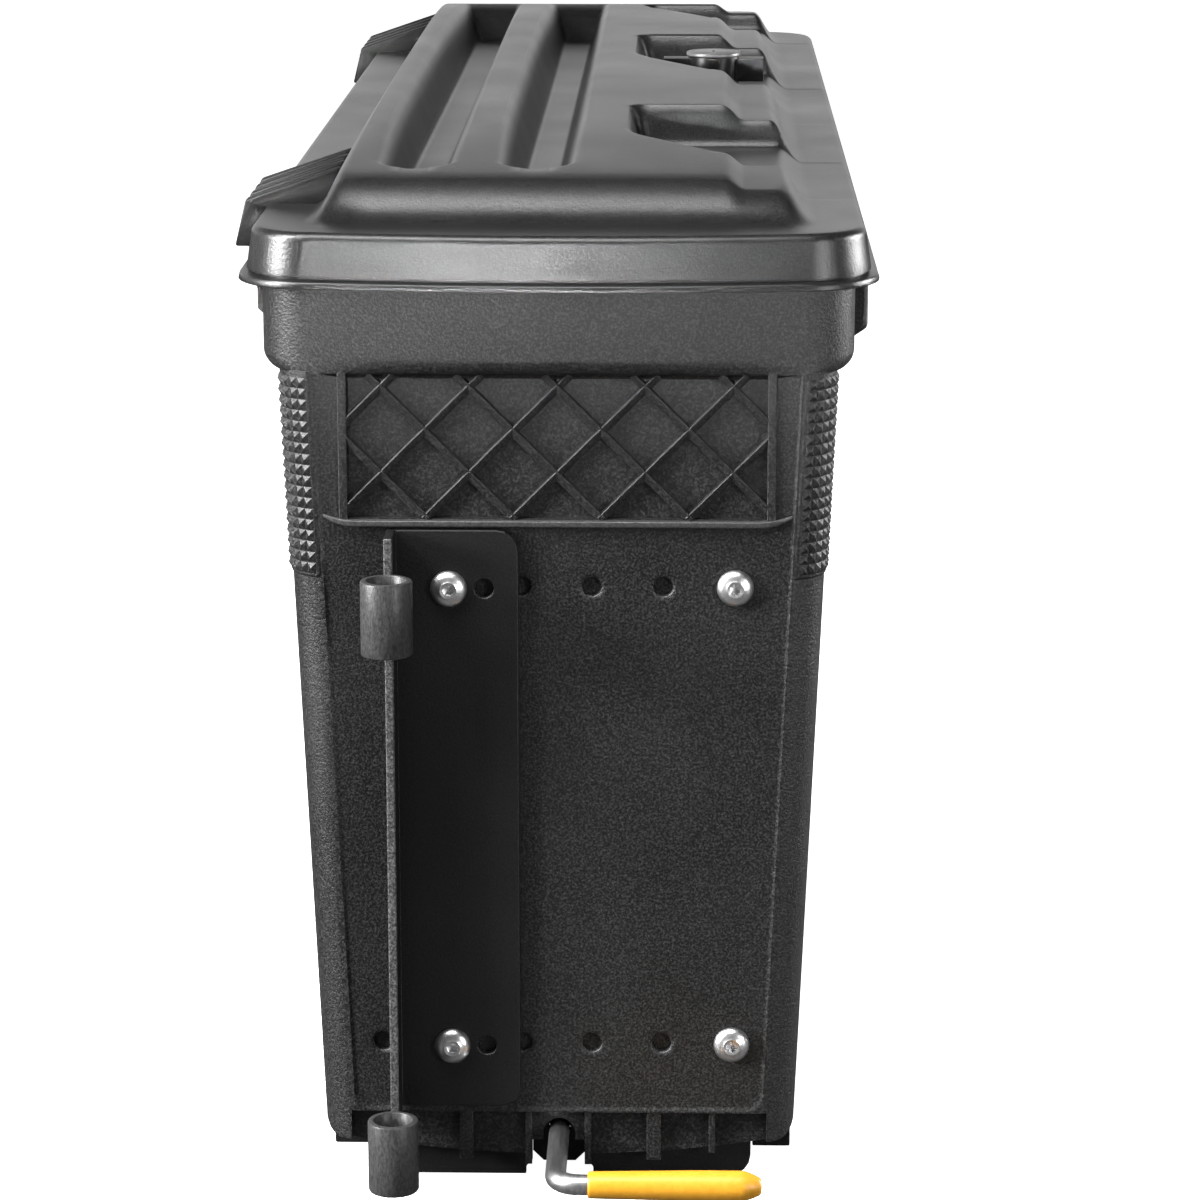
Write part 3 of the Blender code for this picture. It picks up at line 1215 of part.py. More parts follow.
def make_handle():
    """T-handle with two blunt arms and a well for the lock."""
    centre = (LATCH_X, LATCH_Y)
    handle = turned([(HANDLE_HUB_RADIUS - MM, HANDLE_Z), (HANDLE_HUB_RADIUS, HANDLE_Z + MM),
                     (HANDLE_HUB_RADIUS, HANDLE_TOP_Z)], "Z", centre)
    half = HANDLE_ARM_WIDTH / 2
    arm = [(-HANDLE_ARM, -half), (HANDLE_ARM, -half), (HANDLE_ARM, half), (-HANDLE_ARM, half)]
    low, high = HANDLE_Z + MM / 2, HANDLE_TOP_Z - MM
    fuse(handle, prism([(LATCH_X + x, LATCH_Y + y) for x, y in arm], "Z", low, high))
    well = CYLINDER_DEPTH + FIT_GAP
    cut(handle, bore("Z", centre, CYLINDER_RADIUS + RUNNING_GAP, HANDLE_TOP_Z - well, HANDLE_TOP_Z + MM))
    socket = HANDLE_TOP_Z - well - MM
    return cut(handle, bore("Z", centre, SHAFT_RADIUS + FIT_GAP, HANDLE_Z - MM, socket))


def make_shaft():
    top = HANDLE_TOP_Z - CYLINDER_DEPTH - FIT_GAP - MM - FIT_GAP
    return rod("Z", (LATCH_X, LATCH_Y), SHAFT_RADIUS, SHAFT_BOTTOM_Z, top)


def make_lock_cylinder():
    """Lock plug in the handle, under its round cap."""
    low = HANDLE_TOP_Z - CYLINDER_DEPTH
    seat = HANDLE_TOP_Z + FIT_GAP
    edge = CAP_THICKNESS * 0.35
    profile = [(CYLINDER_RADIUS, low), (CYLINDER_RADIUS, seat), (CAP_RADIUS, seat),
               (CAP_RADIUS, seat + CAP_THICKNESS - edge), (CAP_RADIUS - edge, seat + CAP_THICKNESS)]
    return turned(profile, "Z", (LATCH_X, LATCH_Y))


def make_cam():
    """Tongue that turns under the keeper; it points along the case when unlocked."""
    half = CAM_WIDTH / 2
    plan = arc((LATCH_X, LATCH_Y), half, 180, 360, 10)
    tip = LATCH_Y + CAM_LENGTH
    plan += [(LATCH_X + half, tip - half / 2), (LATCH_X + half / 2, tip), (LATCH_X - half / 2, tip),
             (LATCH_X - half, tip - half / 2)]
    cam = prism(plan, "Z", CAM_Z, CAM_Z + CAM_THICKNESS)
    hole = SHAFT_RADIUS + FIT_GAP
    return cut(cam, bore("Z", (LATCH_X, LATCH_Y), hole, CAM_Z - MM, CAM_Z + CAM_THICKNESS + MM))


def make_cam_nut():
    high = CAM_Z - FIT_GAP
    return hex_nut("Z", (LATCH_X, LATCH_Y), CAM_NUT_RADIUS, SHAFT_RADIUS + FIT_GAP, high - CAM_NUT, high)


def make_keeper():
    """Angle inside the collar that holds the latch tongue down."""
    wall = COLLAR_HALF - WALL - FIT_GAP
    low = keeper_low()
    t = KEEPER_THICKNESS
    profile = [(wall - KEEPER_REACH, low), (wall, low), (wall, low + KEEPER_HEIGHT),
               (wall - t, low + KEEPER_HEIGHT), (wall - t, low + t), (wall - KEEPER_REACH, low + t)]
    keeper = prism(profile, "Y", LATCH_Y - KEEPER_LENGTH / 2, LATCH_Y + KEEPER_LENGTH / 2)
    holes = [bore("X", (y, keeper_rivet_z()), RIVET_RADIUS + FIT_GAP, wall - 2 * t, wall + MM)
             for y in keeper_rivets_y()]
    return cut(keeper, group(holes))


def make_hinge_rivets():
    inner = -COLLAR_HALF + WALL
    outer = -COLLAR_HALF - FIT_GAP - HINGE_BASE_THICKNESS
    return [rivet("X", (y, hinge_rivet_z()), outer, inner)
            for middle in (HINGE_NEAR_Y, HINGE_FAR_Y) for y in hinge_rivets_y(middle)]


def make_keeper_rivets():
    inner = COLLAR_HALF - WALL - FIT_GAP - KEEPER_THICKNESS
    return [rivet("X", (y, keeper_rivet_z()), inner, COLLAR_HALF) for y in keeper_rivets_y()]


def make_leaf_screws():
    seat = hinge_pocket_top() - FIT_GAP - LEAF_THICKNESS
    depth = LEAF_THICKNESS + PAN_SHANK_DEPTH / 2 - MM
    return [pan_screw(place, seat, False, depth) for place in leaf_screw_places()]


def make_seal():
    return rim_frame(SEAL_WIDTH, RIM_Z + FIT_GAP, RIM_Z + FIT_GAP + SEAL_HEIGHT)


def stand_on_origin(case):
    """Move the case so that the middle of its footprint lies over the origin."""
    bpy.context.view_layer.update()
    corners = []
    for item in bpy.data.objects:
        if item.type == "MESH":
            corners += [item.matrix_world @ vertex.co for vertex in item.data.vertices]
    low = Vector([min(c[i] for c in corners) for i in range(3)])
    high = Vector([max(c[i] for c in corners) for i in range(3)])
    case.location = (-(low.x + high.x) / 2, -(low.y + high.y) / 2, -low.z)


def main():
    clear_scene()
    case = empty("case_origin", (0.0, 0.0, 0.0))
    lid_axis = empty("lid_axis", (HINGE_X, HINGE_NEAR_Y, HINGE_Z), case)
    latch_axis = empty("latch_axis", (LATCH_X, LATCH_Y, HANDLE_Z), lid_axis)
    lock_axis = empty("lock_axis", (LATCH_X, LATCH_Y, HANDLE_TOP_Z), latch_axis)
    rod_axis = empty("rod_axis", (0.0, 0.0, ROD_Z), case)

    name_piece(make_body(), "case_body", "moulded_black", case)
    name_piece(make_seal(), "lid_seal", "seal_rubber", case)
    name_piece(make_bracket(), "hinge_bracket", "powder_black", case)
    name_piece(make_barrel(UPPER_BARREL_Z), "upper_hinge_barrel", "powder_black", case)
    name_piece(make_barrel(LOWER_BARREL_Z), "lower_hinge_barrel", "powder_black", case)
    name_pieces(make_panel_screws(), "panel_screw", "bright_zinc", case)
    name_pieces(make_panel_nuts(), "panel_nut", "bright_zinc", case)
    name_piece(make_backing_plate(), "backing_plate", "bare_steel", case)
    name_piece(make_rail(-1), "skid_rail_left", "moulded_black", case)
    name_piece(make_rail(1), "skid_rail_right", "moulded_black", case)
    name_pieces(make_rail_screws(), "skid_rail_screw", "bright_zinc", case)
    name_piece(make_front_member(), "front_cross_member", "powder_black", case)
    name_piece(make_rear_member(), "rear_cross_member", "powder_black", case)
    name_pieces(make_member_rivets(), "cross_member_rivet", "bright_zinc", case)
    name_piece(make_front_bushing(), "front_rod_bushing", "moulded_black", case)
    name_piece(make_rear_bushing(), "rear_rod_bushing", "moulded_black", case)
    name_piece(make_spring(), "return_spring", "bare_steel", case)
    for place, middle in (("front", HINGE_NEAR_Y), ("rear", HINGE_FAR_Y)):
        name_piece(make_hinge_base(middle), place + "_hinge_base", "powder_black", case)
        name_piece(make_hinge_pin(middle), place + "_hinge_pin", "bare_steel", case)
        name_piece(make_hinge_leaf(middle), place + "_hinge_leaf", "powder_black", lid_axis)
    name_pieces(make_hinge_rivets(), "hinge_rivet", "bright_zinc", case)
    name_piece(make_keeper(), "latch_keeper", "bare_steel", case)
    name_pieces(make_keeper_rivets(), "keeper_rivet", "bright_zinc", case)

    name_piece(make_lid(), "lid_shell", "moulded_black", lid_axis)
    name_pieces(make_leaf_screws(), "hinge_leaf_screw", "bright_zinc", lid_axis)
    name_piece(make_housing(), "latch_housing", "moulded_black", lid_axis)
    name_piece(make_housing_nut(), "latch_housing_nut", "bright_zinc", lid_axis)

    name_piece(make_handle(), "latch_handle", "moulded_black", latch_axis)
    name_piece(make_shaft(), "latch_shaft", "bare_steel", latch_axis)
    name_piece(make_cam(), "latch_cam", "bright_zinc", latch_axis)
    name_piece(make_cam_nut(), "latch_cam_nut", "bright_zinc", latch_axis)
    name_piece(make_lock_cylinder(), "lock_cylinder", "pale_cap", lock_axis)

    name_piece(make_rod(), "release_rod", "bare_steel", rod_axis)
    name_piece(make_grip(), "release_grip", "yellow_vinyl", rod_axis)
    name_piece(make_rod_collar(), "rod_collar", "bright_zinc", rod_axis)
    name_piece(make_pawl(), "latch_pawl", "bright_zinc", rod_axis)
    name_piece(make_pawl_pin(), "pawl_pin", "bare_steel", rod_axis)
    stand_on_origin(case)


main()
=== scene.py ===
import json
import math
import bpy
import bmesh
import numpy as np
from mathutils import Matrix, Vector


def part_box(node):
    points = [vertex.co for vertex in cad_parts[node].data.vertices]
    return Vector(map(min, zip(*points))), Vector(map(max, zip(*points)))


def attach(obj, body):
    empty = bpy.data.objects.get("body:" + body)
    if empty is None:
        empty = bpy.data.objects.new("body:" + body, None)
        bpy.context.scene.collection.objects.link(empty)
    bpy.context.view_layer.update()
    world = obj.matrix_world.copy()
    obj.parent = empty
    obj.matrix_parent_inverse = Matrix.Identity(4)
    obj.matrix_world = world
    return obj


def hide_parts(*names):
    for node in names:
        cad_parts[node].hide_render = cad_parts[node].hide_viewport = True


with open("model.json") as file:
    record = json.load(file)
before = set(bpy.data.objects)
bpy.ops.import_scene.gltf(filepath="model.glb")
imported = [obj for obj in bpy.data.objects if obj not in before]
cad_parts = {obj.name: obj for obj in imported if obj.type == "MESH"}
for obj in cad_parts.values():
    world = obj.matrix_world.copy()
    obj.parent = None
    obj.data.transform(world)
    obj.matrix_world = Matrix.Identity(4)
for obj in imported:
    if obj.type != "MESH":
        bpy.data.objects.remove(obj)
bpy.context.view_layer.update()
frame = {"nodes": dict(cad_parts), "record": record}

# All sizes below are millimetres from the near end of the case, floor level and middle of the width.
mm = 0.001
crossLow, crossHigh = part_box("front_cross_member")
homeX = (crossLow[0] + crossHigh[0]) / 2
homeY = crossLow[1] - 12 * mm


# Materials. Everything grained shares one small shader group.

def nodeAt(tree, kind, **values):
    node = tree.nodes.new(kind)
    for key, value in values.items():
        if hasattr(node, key):
            setattr(node, key, value)
        else:
            node.inputs[key.replace("_", " ")].default_value = value
    return node


def makeGrainGroup():
    group = bpy.data.node_groups.new("mouldGrain", "ShaderNodeTree")
    face = group.interface
    face.new_socket("Place", in_out="INPUT", socket_type="NodeSocketVector")
    for name, start in (("Grain Scale", 900.0), ("Patch Scale", 14.0), ("Coarse", 0.5)):
        face.new_socket(name, in_out="INPUT", socket_type="NodeSocketFloat").default_value = start
    for name in ("Height", "Speckle", "Patch"):
        face.new_socket(name, in_out="OUTPUT", socket_type="NodeSocketFloat")
    inside, outside = group.nodes.new("NodeGroupInput"), group.nodes.new("NodeGroupOutput")
    link = group.links.new
    fine = nodeAt(group, "ShaderNodeTexNoise", Detail=3.0, Roughness=0.65)
    pits = nodeAt(group, "ShaderNodeTexVoronoi", feature="SMOOTH_F1")
    patch = nodeAt(group, "ShaderNodeTexNoise", Detail=2.0)
    half = nodeAt(group, "ShaderNodeMath", operation="MULTIPLY")
    half.inputs[1].default_value = 0.62
    mixed = nodeAt(group, "ShaderNodeMix", data_type="FLOAT")
    for node in (fine, pits, patch):
        link(inside.outputs["Place"], node.inputs["Vector"])
    link(inside.outputs["Grain Scale"], fine.inputs["Scale"])
    link(inside.outputs["Grain Scale"], half.inputs[0])
    link(half.outputs[0], pits.inputs["Scale"])
    link(inside.outputs["Patch Scale"], patch.inputs["Scale"])
    link(inside.outputs["Coarse"], mixed.inputs["Factor"])
    link(fine.outputs[0], mixed.inputs["A"])
    link(pits.outputs["Distance"], mixed.inputs["B"])
    link(mixed.outputs["Result"], outside.inputs["Height"])
    link(fine.outputs[0], outside.inputs["Speckle"])
    link(patch.outputs[0], outside.inputs["Patch"])
    return group


mouldGrain = makeGrainGroup()


def rampNode(tree, source, low, high, lowColour, highColour):
    ramp = tree.nodes.new("ShaderNodeValToRGB")
    ramp.color_ramp.elements[0].position, ramp.color_ramp.elements[1].position = low, high
    ramp.color_ramp.elements[0].color = (*lowColour, 1)
    ramp.color_ramp.elements[1].color = (*highColour, 1)
    tree.links.new(source, ramp.inputs["Fac"])
    return ramp.outputs["Color"]


def mapRange(tree, source, low, high, start, end, smooth=False):
    spread = nodeAt(tree, "ShaderNodeMapRange", From_Min=low, From_Max=high, To_Min=start, To_Max=end)
    if smooth:
        spread.interpolation_type = "SMOOTHSTEP"
    tree.links.new(source, spread.inputs["Value"])
    return spread.outputs["Result"]


def grainedFinish(name, dark, light, rough, grainScale, bumpMm, coarse=0.5, metallic=0.0, stretch=(1, 1, 1),
                  speckle=(0.35, 0.68), strength=0.6, specular=0.5, patchScale=14.0):
    material = bpy.data.materials.new(name)
    material.use_nodes = True
    tree = material.node_tree
    shader = tree.nodes["Principled BSDF"]
    link = tree.links.new
    place = tree.nodes.new("ShaderNodeTexCoord")
    turn = nodeAt(tree, "ShaderNodeMapping", Scale=stretch)
    link(place.outputs["Object"], turn.inputs["Vector"])
    grain = nodeAt(tree, "ShaderNodeGroup", node_tree=mouldGrain)
    for socket, value in (("Grain Scale", grainScale), ("Patch Scale", patchScale), ("Coarse", coarse)):
        grain.inputs[socket].default_value = value
    link(turn.outputs["Vector"], grain.inputs["Place"])
    link(rampNode(tree, grain.outputs["Speckle"], *speckle, dark, light), shader.inputs["Base Color"])
    link(mapRange(tree, grain.outputs["Patch"], 0.3, 0.7, *rough), shader.inputs["Roughness"])
    bump = nodeAt(tree, "ShaderNodeBump", Strength=strength, Distance=bumpMm * mm)
    link(grain.outputs["Height"], bump.inputs["Height"])
    link(bump.outputs["Normal"], shader.inputs["Normal"])
    shader.inputs["Metallic"].default_value = metallic
    shader.inputs["Specular IOR Level"].default_value = specular
    return material


def grey(value):
    return (value, value, value * 1.01)


# dark and light of the speckle, roughness range, grain per metre, bump in millimetres
caseBlack = grainedFinish("caseBlack", grey(0.001), grey(0.042), (0.38, 0.48), 900, 0.5, coarse=0.2,
                          speckle=(0.44, 0.76), strength=0.8)
lidBlack = grainedFinish("lidBlack", grey(0.001), grey(0.018), (0.28, 0.34), 1000, 0.25, coarse=0.15,
                         strength=0.7)
coverBlack = grainedFinish("coverBlack", grey(0.001), grey(0.01), (0.42, 0.5), 1000, 0.2, coarse=0.15,
                           specular=0.22)
# the ledge is part of the case moulding; its lighter base is a painted highlight for its lit edge
ledgeBlack = grainedFinish("ledgeBlack", grey(0.02), grey(0.06), (0.3, 0.38), 1000, 0.2, coarse=0.15)
bracketBlack = grainedFinish("bracketBlack", grey(0.001), grey(0.008), (0.4, 0.5), 1100, 0.4, coarse=0.3,
                             specular=0.4)
# the barrels share the bracket's powder coat; their lighter base is painted light, standing in for the light
# falling on the barrels
barrelBlack = grainedFinish("barrelBlack", grey(0.02), grey(0.055), (0.34, 0.44), 1100, 0.3, coarse=0.3,
                            specular=0.36, stretch=(1, 1, 0.4))
latchBlack = grainedFinish("latchBlack", grey(0.001), grey(0.004), (0.3, 0.38), 1500, 0.1, specular=0.2)
zincBright = grainedFinish("zincBright", grey(0.6), grey(0.8), (0.3, 0.42), 1400, 0.08, metallic=1.0)
rodSteel = grainedFinish("rodSteel", grey(0.34), grey(0.56), (0.28, 0.42), 500, 0.05, metallic=1.0,
                         stretch=(1, 0.08, 1))
gripYellow = grainedFinish("gripYellow", (0.6, 0.27, 0.014), (0.68, 0.32, 0.022), (0.34, 0.46), 420, 0.12)
sealRubber = grainedFinish("sealRubber", grey(0.004), grey(0.01), (0.7, 0.85), 1500, 0.2)
capGrey = grainedFinish("capGrey", grey(0.055), grey(0.08), (0.3, 0.4), 1200, 0.06)
print("materials ready")


# Helpers for plain meshes.

def seat(mesh):
    mesh.transform(Matrix.Translation((homeX, homeY, 0)) @ Matrix.Scale(mm, 4))


def shadeByAngle(mesh, degrees):
    for face in mesh.polygons:
        face.use_smooth = True
    mesh.set_sharp_from_angle(angle=math.radians(degrees))


def addObject(name, mesh):
    item = bpy.data.objects.new(name, mesh)
    bpy.context.scene.collection.objects.link(item)
    return item


def dress(item, body, material, nodes=()):
    item.data.materials.clear()
    item.data.materials.append(material)
    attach(item, body)
    if nodes:
        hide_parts(*nodes)
    return item


def finishPiece(name, mesh, angle, body, material, nodes=()):
    seat(mesh)
    shadeByAngle(mesh, angle)
    return dress(addObject(name, mesh), body, material, nodes)


def takeMeshes(items):
    meshes = [item.data for item in items]
    for item in items:
        bpy.data.objects.remove(item)
    return meshes


def meshFrom(name, verts, faces):
    mesh = bpy.data.meshes.new(name)
    mesh.from_pydata([tuple(v) for v in verts], [], [tuple(f) for f in faces])
    return mesh


def evaluated(item):
    graph = bpy.context.evaluated_depsgraph_get()
    mesh = bpy.data.meshes.new_from_object(item.evaluated_get(graph))
    old = item.data
    item.modifiers.clear()
    item.data = mesh
    bpy.data.meshes.remove(old)
    return item


def tidyMesh(mesh, distance=0.001):
    shape = bmesh.new()
    shape.from_mesh(mesh)
    bmesh.ops.remove_doubles(shape, verts=shape.verts, dist=distance)
    bmesh.ops.dissolve_degenerate(shape, edges=shape.edges, dist=distance / 10)
    bmesh.ops.recalc_face_normals(shape, faces=shape.faces)
    shape.to_mesh(mesh)
    shape.free()


def arcPoints(centre, radius, start, end, steps):
    turns = np.radians(np.linspace(start, end, steps + 1))
    return [(centre[0] + radius * math.cos(t), centre[1] + radius * math.sin(t)) for t in turns]


def roundedPlan(half, near, far, radius, bow=0.0, cornerSteps=10, endSteps=18):
    flat = half - radius
    points = []
    for i in range(1, endSteps):
        share = 2 * i / endSteps - 1
        points.append((flat * share, near + bow * share ** 2))
    points += arcPoints((flat, near + bow + radius), radius, -90, 0, cornerSteps)
    points += arcPoints((flat, far - bow - radius), radius, 0, 90, cornerSteps)
    for i in range(1, endSteps):
        share = 1 - 2 * i / endSteps
        points.append((flat * share, far - bow * share ** 2))
    points += arcPoints((-flat, far - bow - radius), radius, 90, 180, cornerSteps)
    points += arcPoints((-flat, near + bow + radius), radius, 180, 270, cornerSteps)
    return points


def loftMesh(name, rings, capped=True, closedLoop=False):
    count = len(rings[0])
    verts = [point for ring in rings for point in ring]
    faces = []
    levels = len(rings) if closedLoop else len(rings) - 1
    for level in range(levels):
        low, high = level * count, ((level + 1) % len(rings)) * count
        for i in range(count):
            j = (i + 1) % count
            faces.append((low + i, low + j, high + j, high + i))
    if capped and not closedLoop:
        faces.append(tuple(range(count))[::-1])
        faces.append(tuple(range(len(verts) - count, len(verts))))
    return meshFrom(name, verts, faces)


def prismMesh(name, outline, axis, low, high):
    def point(a, b, c):
        return {"X": (c, a, b), "Y": (a, c, b), "Z": (a, b, c)}[axis]
    mesh = loftMesh(name, [[point(a, b, low) for a, b in outline], [point(a, b, high) for a, b in outline]])
    tidyMesh(mesh)
    return mesh


def blockMesh(name, low, high):
    outline = [(low[0], low[1]), (high[0], low[1]), (high[0], high[1]), (low[0], high[1])]
    return prismMesh(name, outline, "Z", low[2], high[2])


def latheRings(profile, axis, centre, sides=48):
    rings = []
    for radius, along in profile:
        ring = []
        for i in range(sides):
            turn = 2 * math.pi * i / sides
            a, b = centre[0] + radius * math.cos(turn), centre[1] + radius * math.sin(turn)
            ring.append({"X": (along, a, b), "Y": (a, along, b), "Z": (a, b, along)}[axis])
        rings.append(ring)
    return rings


def lathe(name, profile, axis, centre, sides=48, closedLoop=False):
    mesh = loftMesh(name, latheRings(profile, axis, centre, sides), closedLoop=closedLoop)
    tidyMesh(mesh)
    return mesh


def joinMeshes(name, meshes):
    shape = bmesh.new()
    for mesh in meshes:
        shape.from_mesh(mesh)
    joined = bpy.data.meshes.new(name)
    shape.to_mesh(joined)
    shape.free()
    return joined


def cutAway(item, cutters):
    for i, mesh in enumerate(cutters):
        cutter = addObject(f"{item.name}Cutter{i}", mesh)
        change = item.modifiers.new("cut", "BOOLEAN")
        change.operation, change.solver, change.object = "DIFFERENCE", "EXACT", cutter
        evaluated(item)
        bpy.data.objects.remove(cutter)
    return item


def softEdges(item, width, segments=3, angle=32):
    bevel = item.modifiers.new("softEdges", "BEVEL")
    bevel.width, bevel.segments = width, segments
    bevel.limit_method, bevel.angle_limit = "ANGLE", math.radians(angle)
    bevel.use_clamp_overlap = True
    bevel.miter_outer = "MITER_ARC"
    bevel.harden_normals = True
    return evaluated(item)


def softCopy(node, name, body, material, width, segments=3, sharp=14):
    mesh = frame["nodes"][node].data.copy()
    shape = bmesh.new()
    shape.from_mesh(mesh)
    bmesh.ops.remove_doubles(shape, verts=shape.verts, dist=2e-6)
    bmesh.ops.dissolve_limit(shape, angle_limit=math.radians(1.5), verts=shape.verts, edges=shape.edges)
    shape.to_mesh(mesh)
    shape.free()
    mesh.materials.clear()
    item = addObject(name, mesh)
    for face in mesh.polygons:
        face.use_smooth = True
    softEdges(item, width * mm, segments)
    shadeByAngle(item.data, sharp)
    return dress(item, body, material, (node,))


# Geometry node trees for what repeats or follows a line.

def newTree(name, sockets):
    tree = bpy.data.node_groups.new(name, "GeometryNodeTree")
    tree.interface.new_socket("Geometry", in_out="INPUT", socket_type="NodeSocketGeometry")
    for label, kind in sockets:
        tree.interface.new_socket(label, in_out="INPUT", socket_type=kind)
    tree.interface.new_socket("Geometry", in_out="OUTPUT", socket_type="NodeSocketGeometry")
    return tree, tree.nodes.new("NodeGroupInput"), tree.nodes.new("NodeGroupOutput")


def endTree(tree, start, end, geometry):
    realize = tree.nodes.new("GeometryNodeRealizeInstances")
    finish = tree.nodes.new("GeometryNodeSetMaterial")
    tree.links.new(geometry, realize.inputs[0])
    tree.links.new(realize.outputs[0], finish.inputs["Geometry"])
    tree.links.new(start.outputs["Finish"], finish.inputs["Material"])
    tree.links.new(finish.outputs["Geometry"], end.inputs["Geometry"])


def makeScatterTree():
    tree, start, end = newTree("scatterPieces", (
        ("Shape", "NodeSocketObject"), ("Size", "NodeSocketFloat"), ("Finish", "NodeSocketMaterial")))
    shape = tree.nodes.new("GeometryNodeObjectInfo")
    turn = tree.nodes.new("GeometryNodeInputNamedAttribute")
    turn.data_type = "FLOAT_VECTOR"
    turn.inputs["Name"].default_value = "turn"
    spin = tree.nodes.new("FunctionNodeEulerToRotation")
    place = tree.nodes.new("GeometryNodeInstanceOnPoints")
    link = tree.links.new
    link(start.outputs["Geometry"], place.inputs["Points"])
    link(start.outputs["Shape"], shape.inputs["Object"])
    link(shape.outputs["Geometry"], place.inputs["Instance"])
    link(turn.outputs["Attribute"], spin.inputs[0])
    link(spin.outputs[0], place.inputs["Rotation"])
    link(start.outputs["Size"], place.inputs["Scale"])
    endTree(tree, start, end, place.outputs["Instances"])
    return tree


def makeRibTree():
    widths = [(label, "NodeSocketFloat") for label in ("Foot Width", "Top Width", "Depth", "Edge Round")]
    tree, start, end = newTree("ribsAlongLines", widths + [("Finish", "NodeSocketMaterial")])
    link = tree.links.new
    path = tree.nodes.new("GeometryNodeMeshToCurve")
    upright = tree.nodes.new("GeometryNodeSetCurveNormal")
    upright.mode = "Z_UP"
    section = tree.nodes.new("GeometryNodeCurvePrimitiveQuadrilateral")
    section.mode = "TRAPEZOID"
    section.inputs["Offset"].default_value = 0
    rounded = tree.nodes.new("GeometryNodeFilletCurve")
    rounded.mode = "POLY"
    rounded.inputs["Count"].default_value = 4
    sweep = tree.nodes.new("GeometryNodeCurveToMesh")
    sweep.inputs["Fill Caps"].default_value = True
    link(start.outputs["Geometry"], path.inputs["Mesh"])
    link(path.outputs["Curve"], upright.inputs["Curve"])
    link(start.outputs["Foot Width"], section.inputs["Bottom Width"])
    link(start.outputs["Top Width"], section.inputs["Top Width"])
    link(start.outputs["Depth"], section.inputs["Height"])
    link(section.outputs["Curve"], rounded.inputs["Curve"])
    link(start.outputs["Edge Round"], rounded.inputs["Radius"])
    link(upright.outputs["Curve"], sweep.inputs["Curve"])
    link(rounded.outputs["Curve"], sweep.inputs["Profile Curve"])
    endTree(tree, start, end, sweep.outputs["Mesh"])
    return tree


scatterTree, ribTree = makeScatterTree(), makeRibTree()


def runTree(name, mesh, tree, values):
    item = addObject(name, mesh)
    change = item.modifiers.new(tree.name, "NODES")
    change.node_group = tree
    for socket in tree.interface.items_tree:
        if socket.item_type == "SOCKET" and socket.in_out == "INPUT" and socket.name in values:
            change[socket.identifier] = values[socket.name]
    return evaluated(item)


def scatter(name, places, shapeMesh, material):
    mesh = meshFrom(name, [point for point, _ in places], [])
    turns = mesh.attributes.new("turn", "FLOAT_VECTOR", "POINT")
    for i, (_, euler) in enumerate(places):
        turns.data[i].vector = euler
    shape = addObject(name + "Shape", shapeMesh)
    item = runTree(name, mesh, scatterTree, {"Shape": shape, "Size": 1.0, "Finish": material})
    bpy.data.objects.remove(shape)
    return item


def facing(direction, spin=0.0):
    aim = Vector(direction).to_track_quat("Z", "Y").to_matrix().to_4x4()
    return (aim @ Matrix.Rotation(spin, 4, "Z")).to_euler()


# The lid is a height field over a grid, with a band round it for the wall and lip.

lidSize = {
    "lipHalf": 144.6, "near": -19.4, "far": 907.4, "lipRadius": 38.0, "bow": 8.0,
    "shelfZ": 450.0, "underZ": 446.8, "edgeInset": 10.1,
    "blockLeft": -109.5, "blockRight": 110.0, "stepX": 76.0, "blockNear": 30.6, "blockFar": 871.4,
    "blockRise": 17.0, "crown": 11.0, "farRise": 4.0, "drop": 4.5, "stepCrown": 7.8,
    "endSlope": 15.0, "sideSlope": 6.5,
    "stepFall": 1.9, "grooveCentres": (-67.5, -12.0), "grooveHalf": 10.2, "grooveDraft": 2.8,
    "grooveNear": 76.5, "grooveFar": 828.4, "grooveFloor": 451.2, "grooveFarSlope": 22.0,
    "grooveFarRamp": 0.75, "grooveRound": 9.0, "notchInner": 33.0, "notchFloor": 458.0, "notchDraft": 5.0,
    "notches": ((104.0, 52.0, 134.0), (391.0, 76.0, 170.0), (676.0, 108.0, 139.0)),  # start, slant, length
    "edgeSoft": 9.0, "footSoft": 7.0, "sideFootSoft": 15.0, "cornerSoft": 20.0, "grooveSoft": 11.0,
    "notchSoft": 11.0, "notchCorner": 9.0,
    "hinges": (124.0, 799.0), "hingeHalf": 35.3, "pocketX": -134.7, "pocketLow": 420.0, "pocketHigh": 443.8,
    "latchAt": (72.0, 460.0), "latchBore": 7.8, "roofThick": 6.5,
    "sealRib": ((-1.2, 446.9), (-1.2, 444.3), (4.8, 444.3), (4.8, 446.9)),  # inset from the rim, height
}


def lower(a, b, soft):
    near = np.maximum(soft - np.abs(a - b), 0)
    return np.minimum(a, b) - near * near / (4 * soft)


def higher(a, b, soft):
    return -lower(-a, -b, soft)


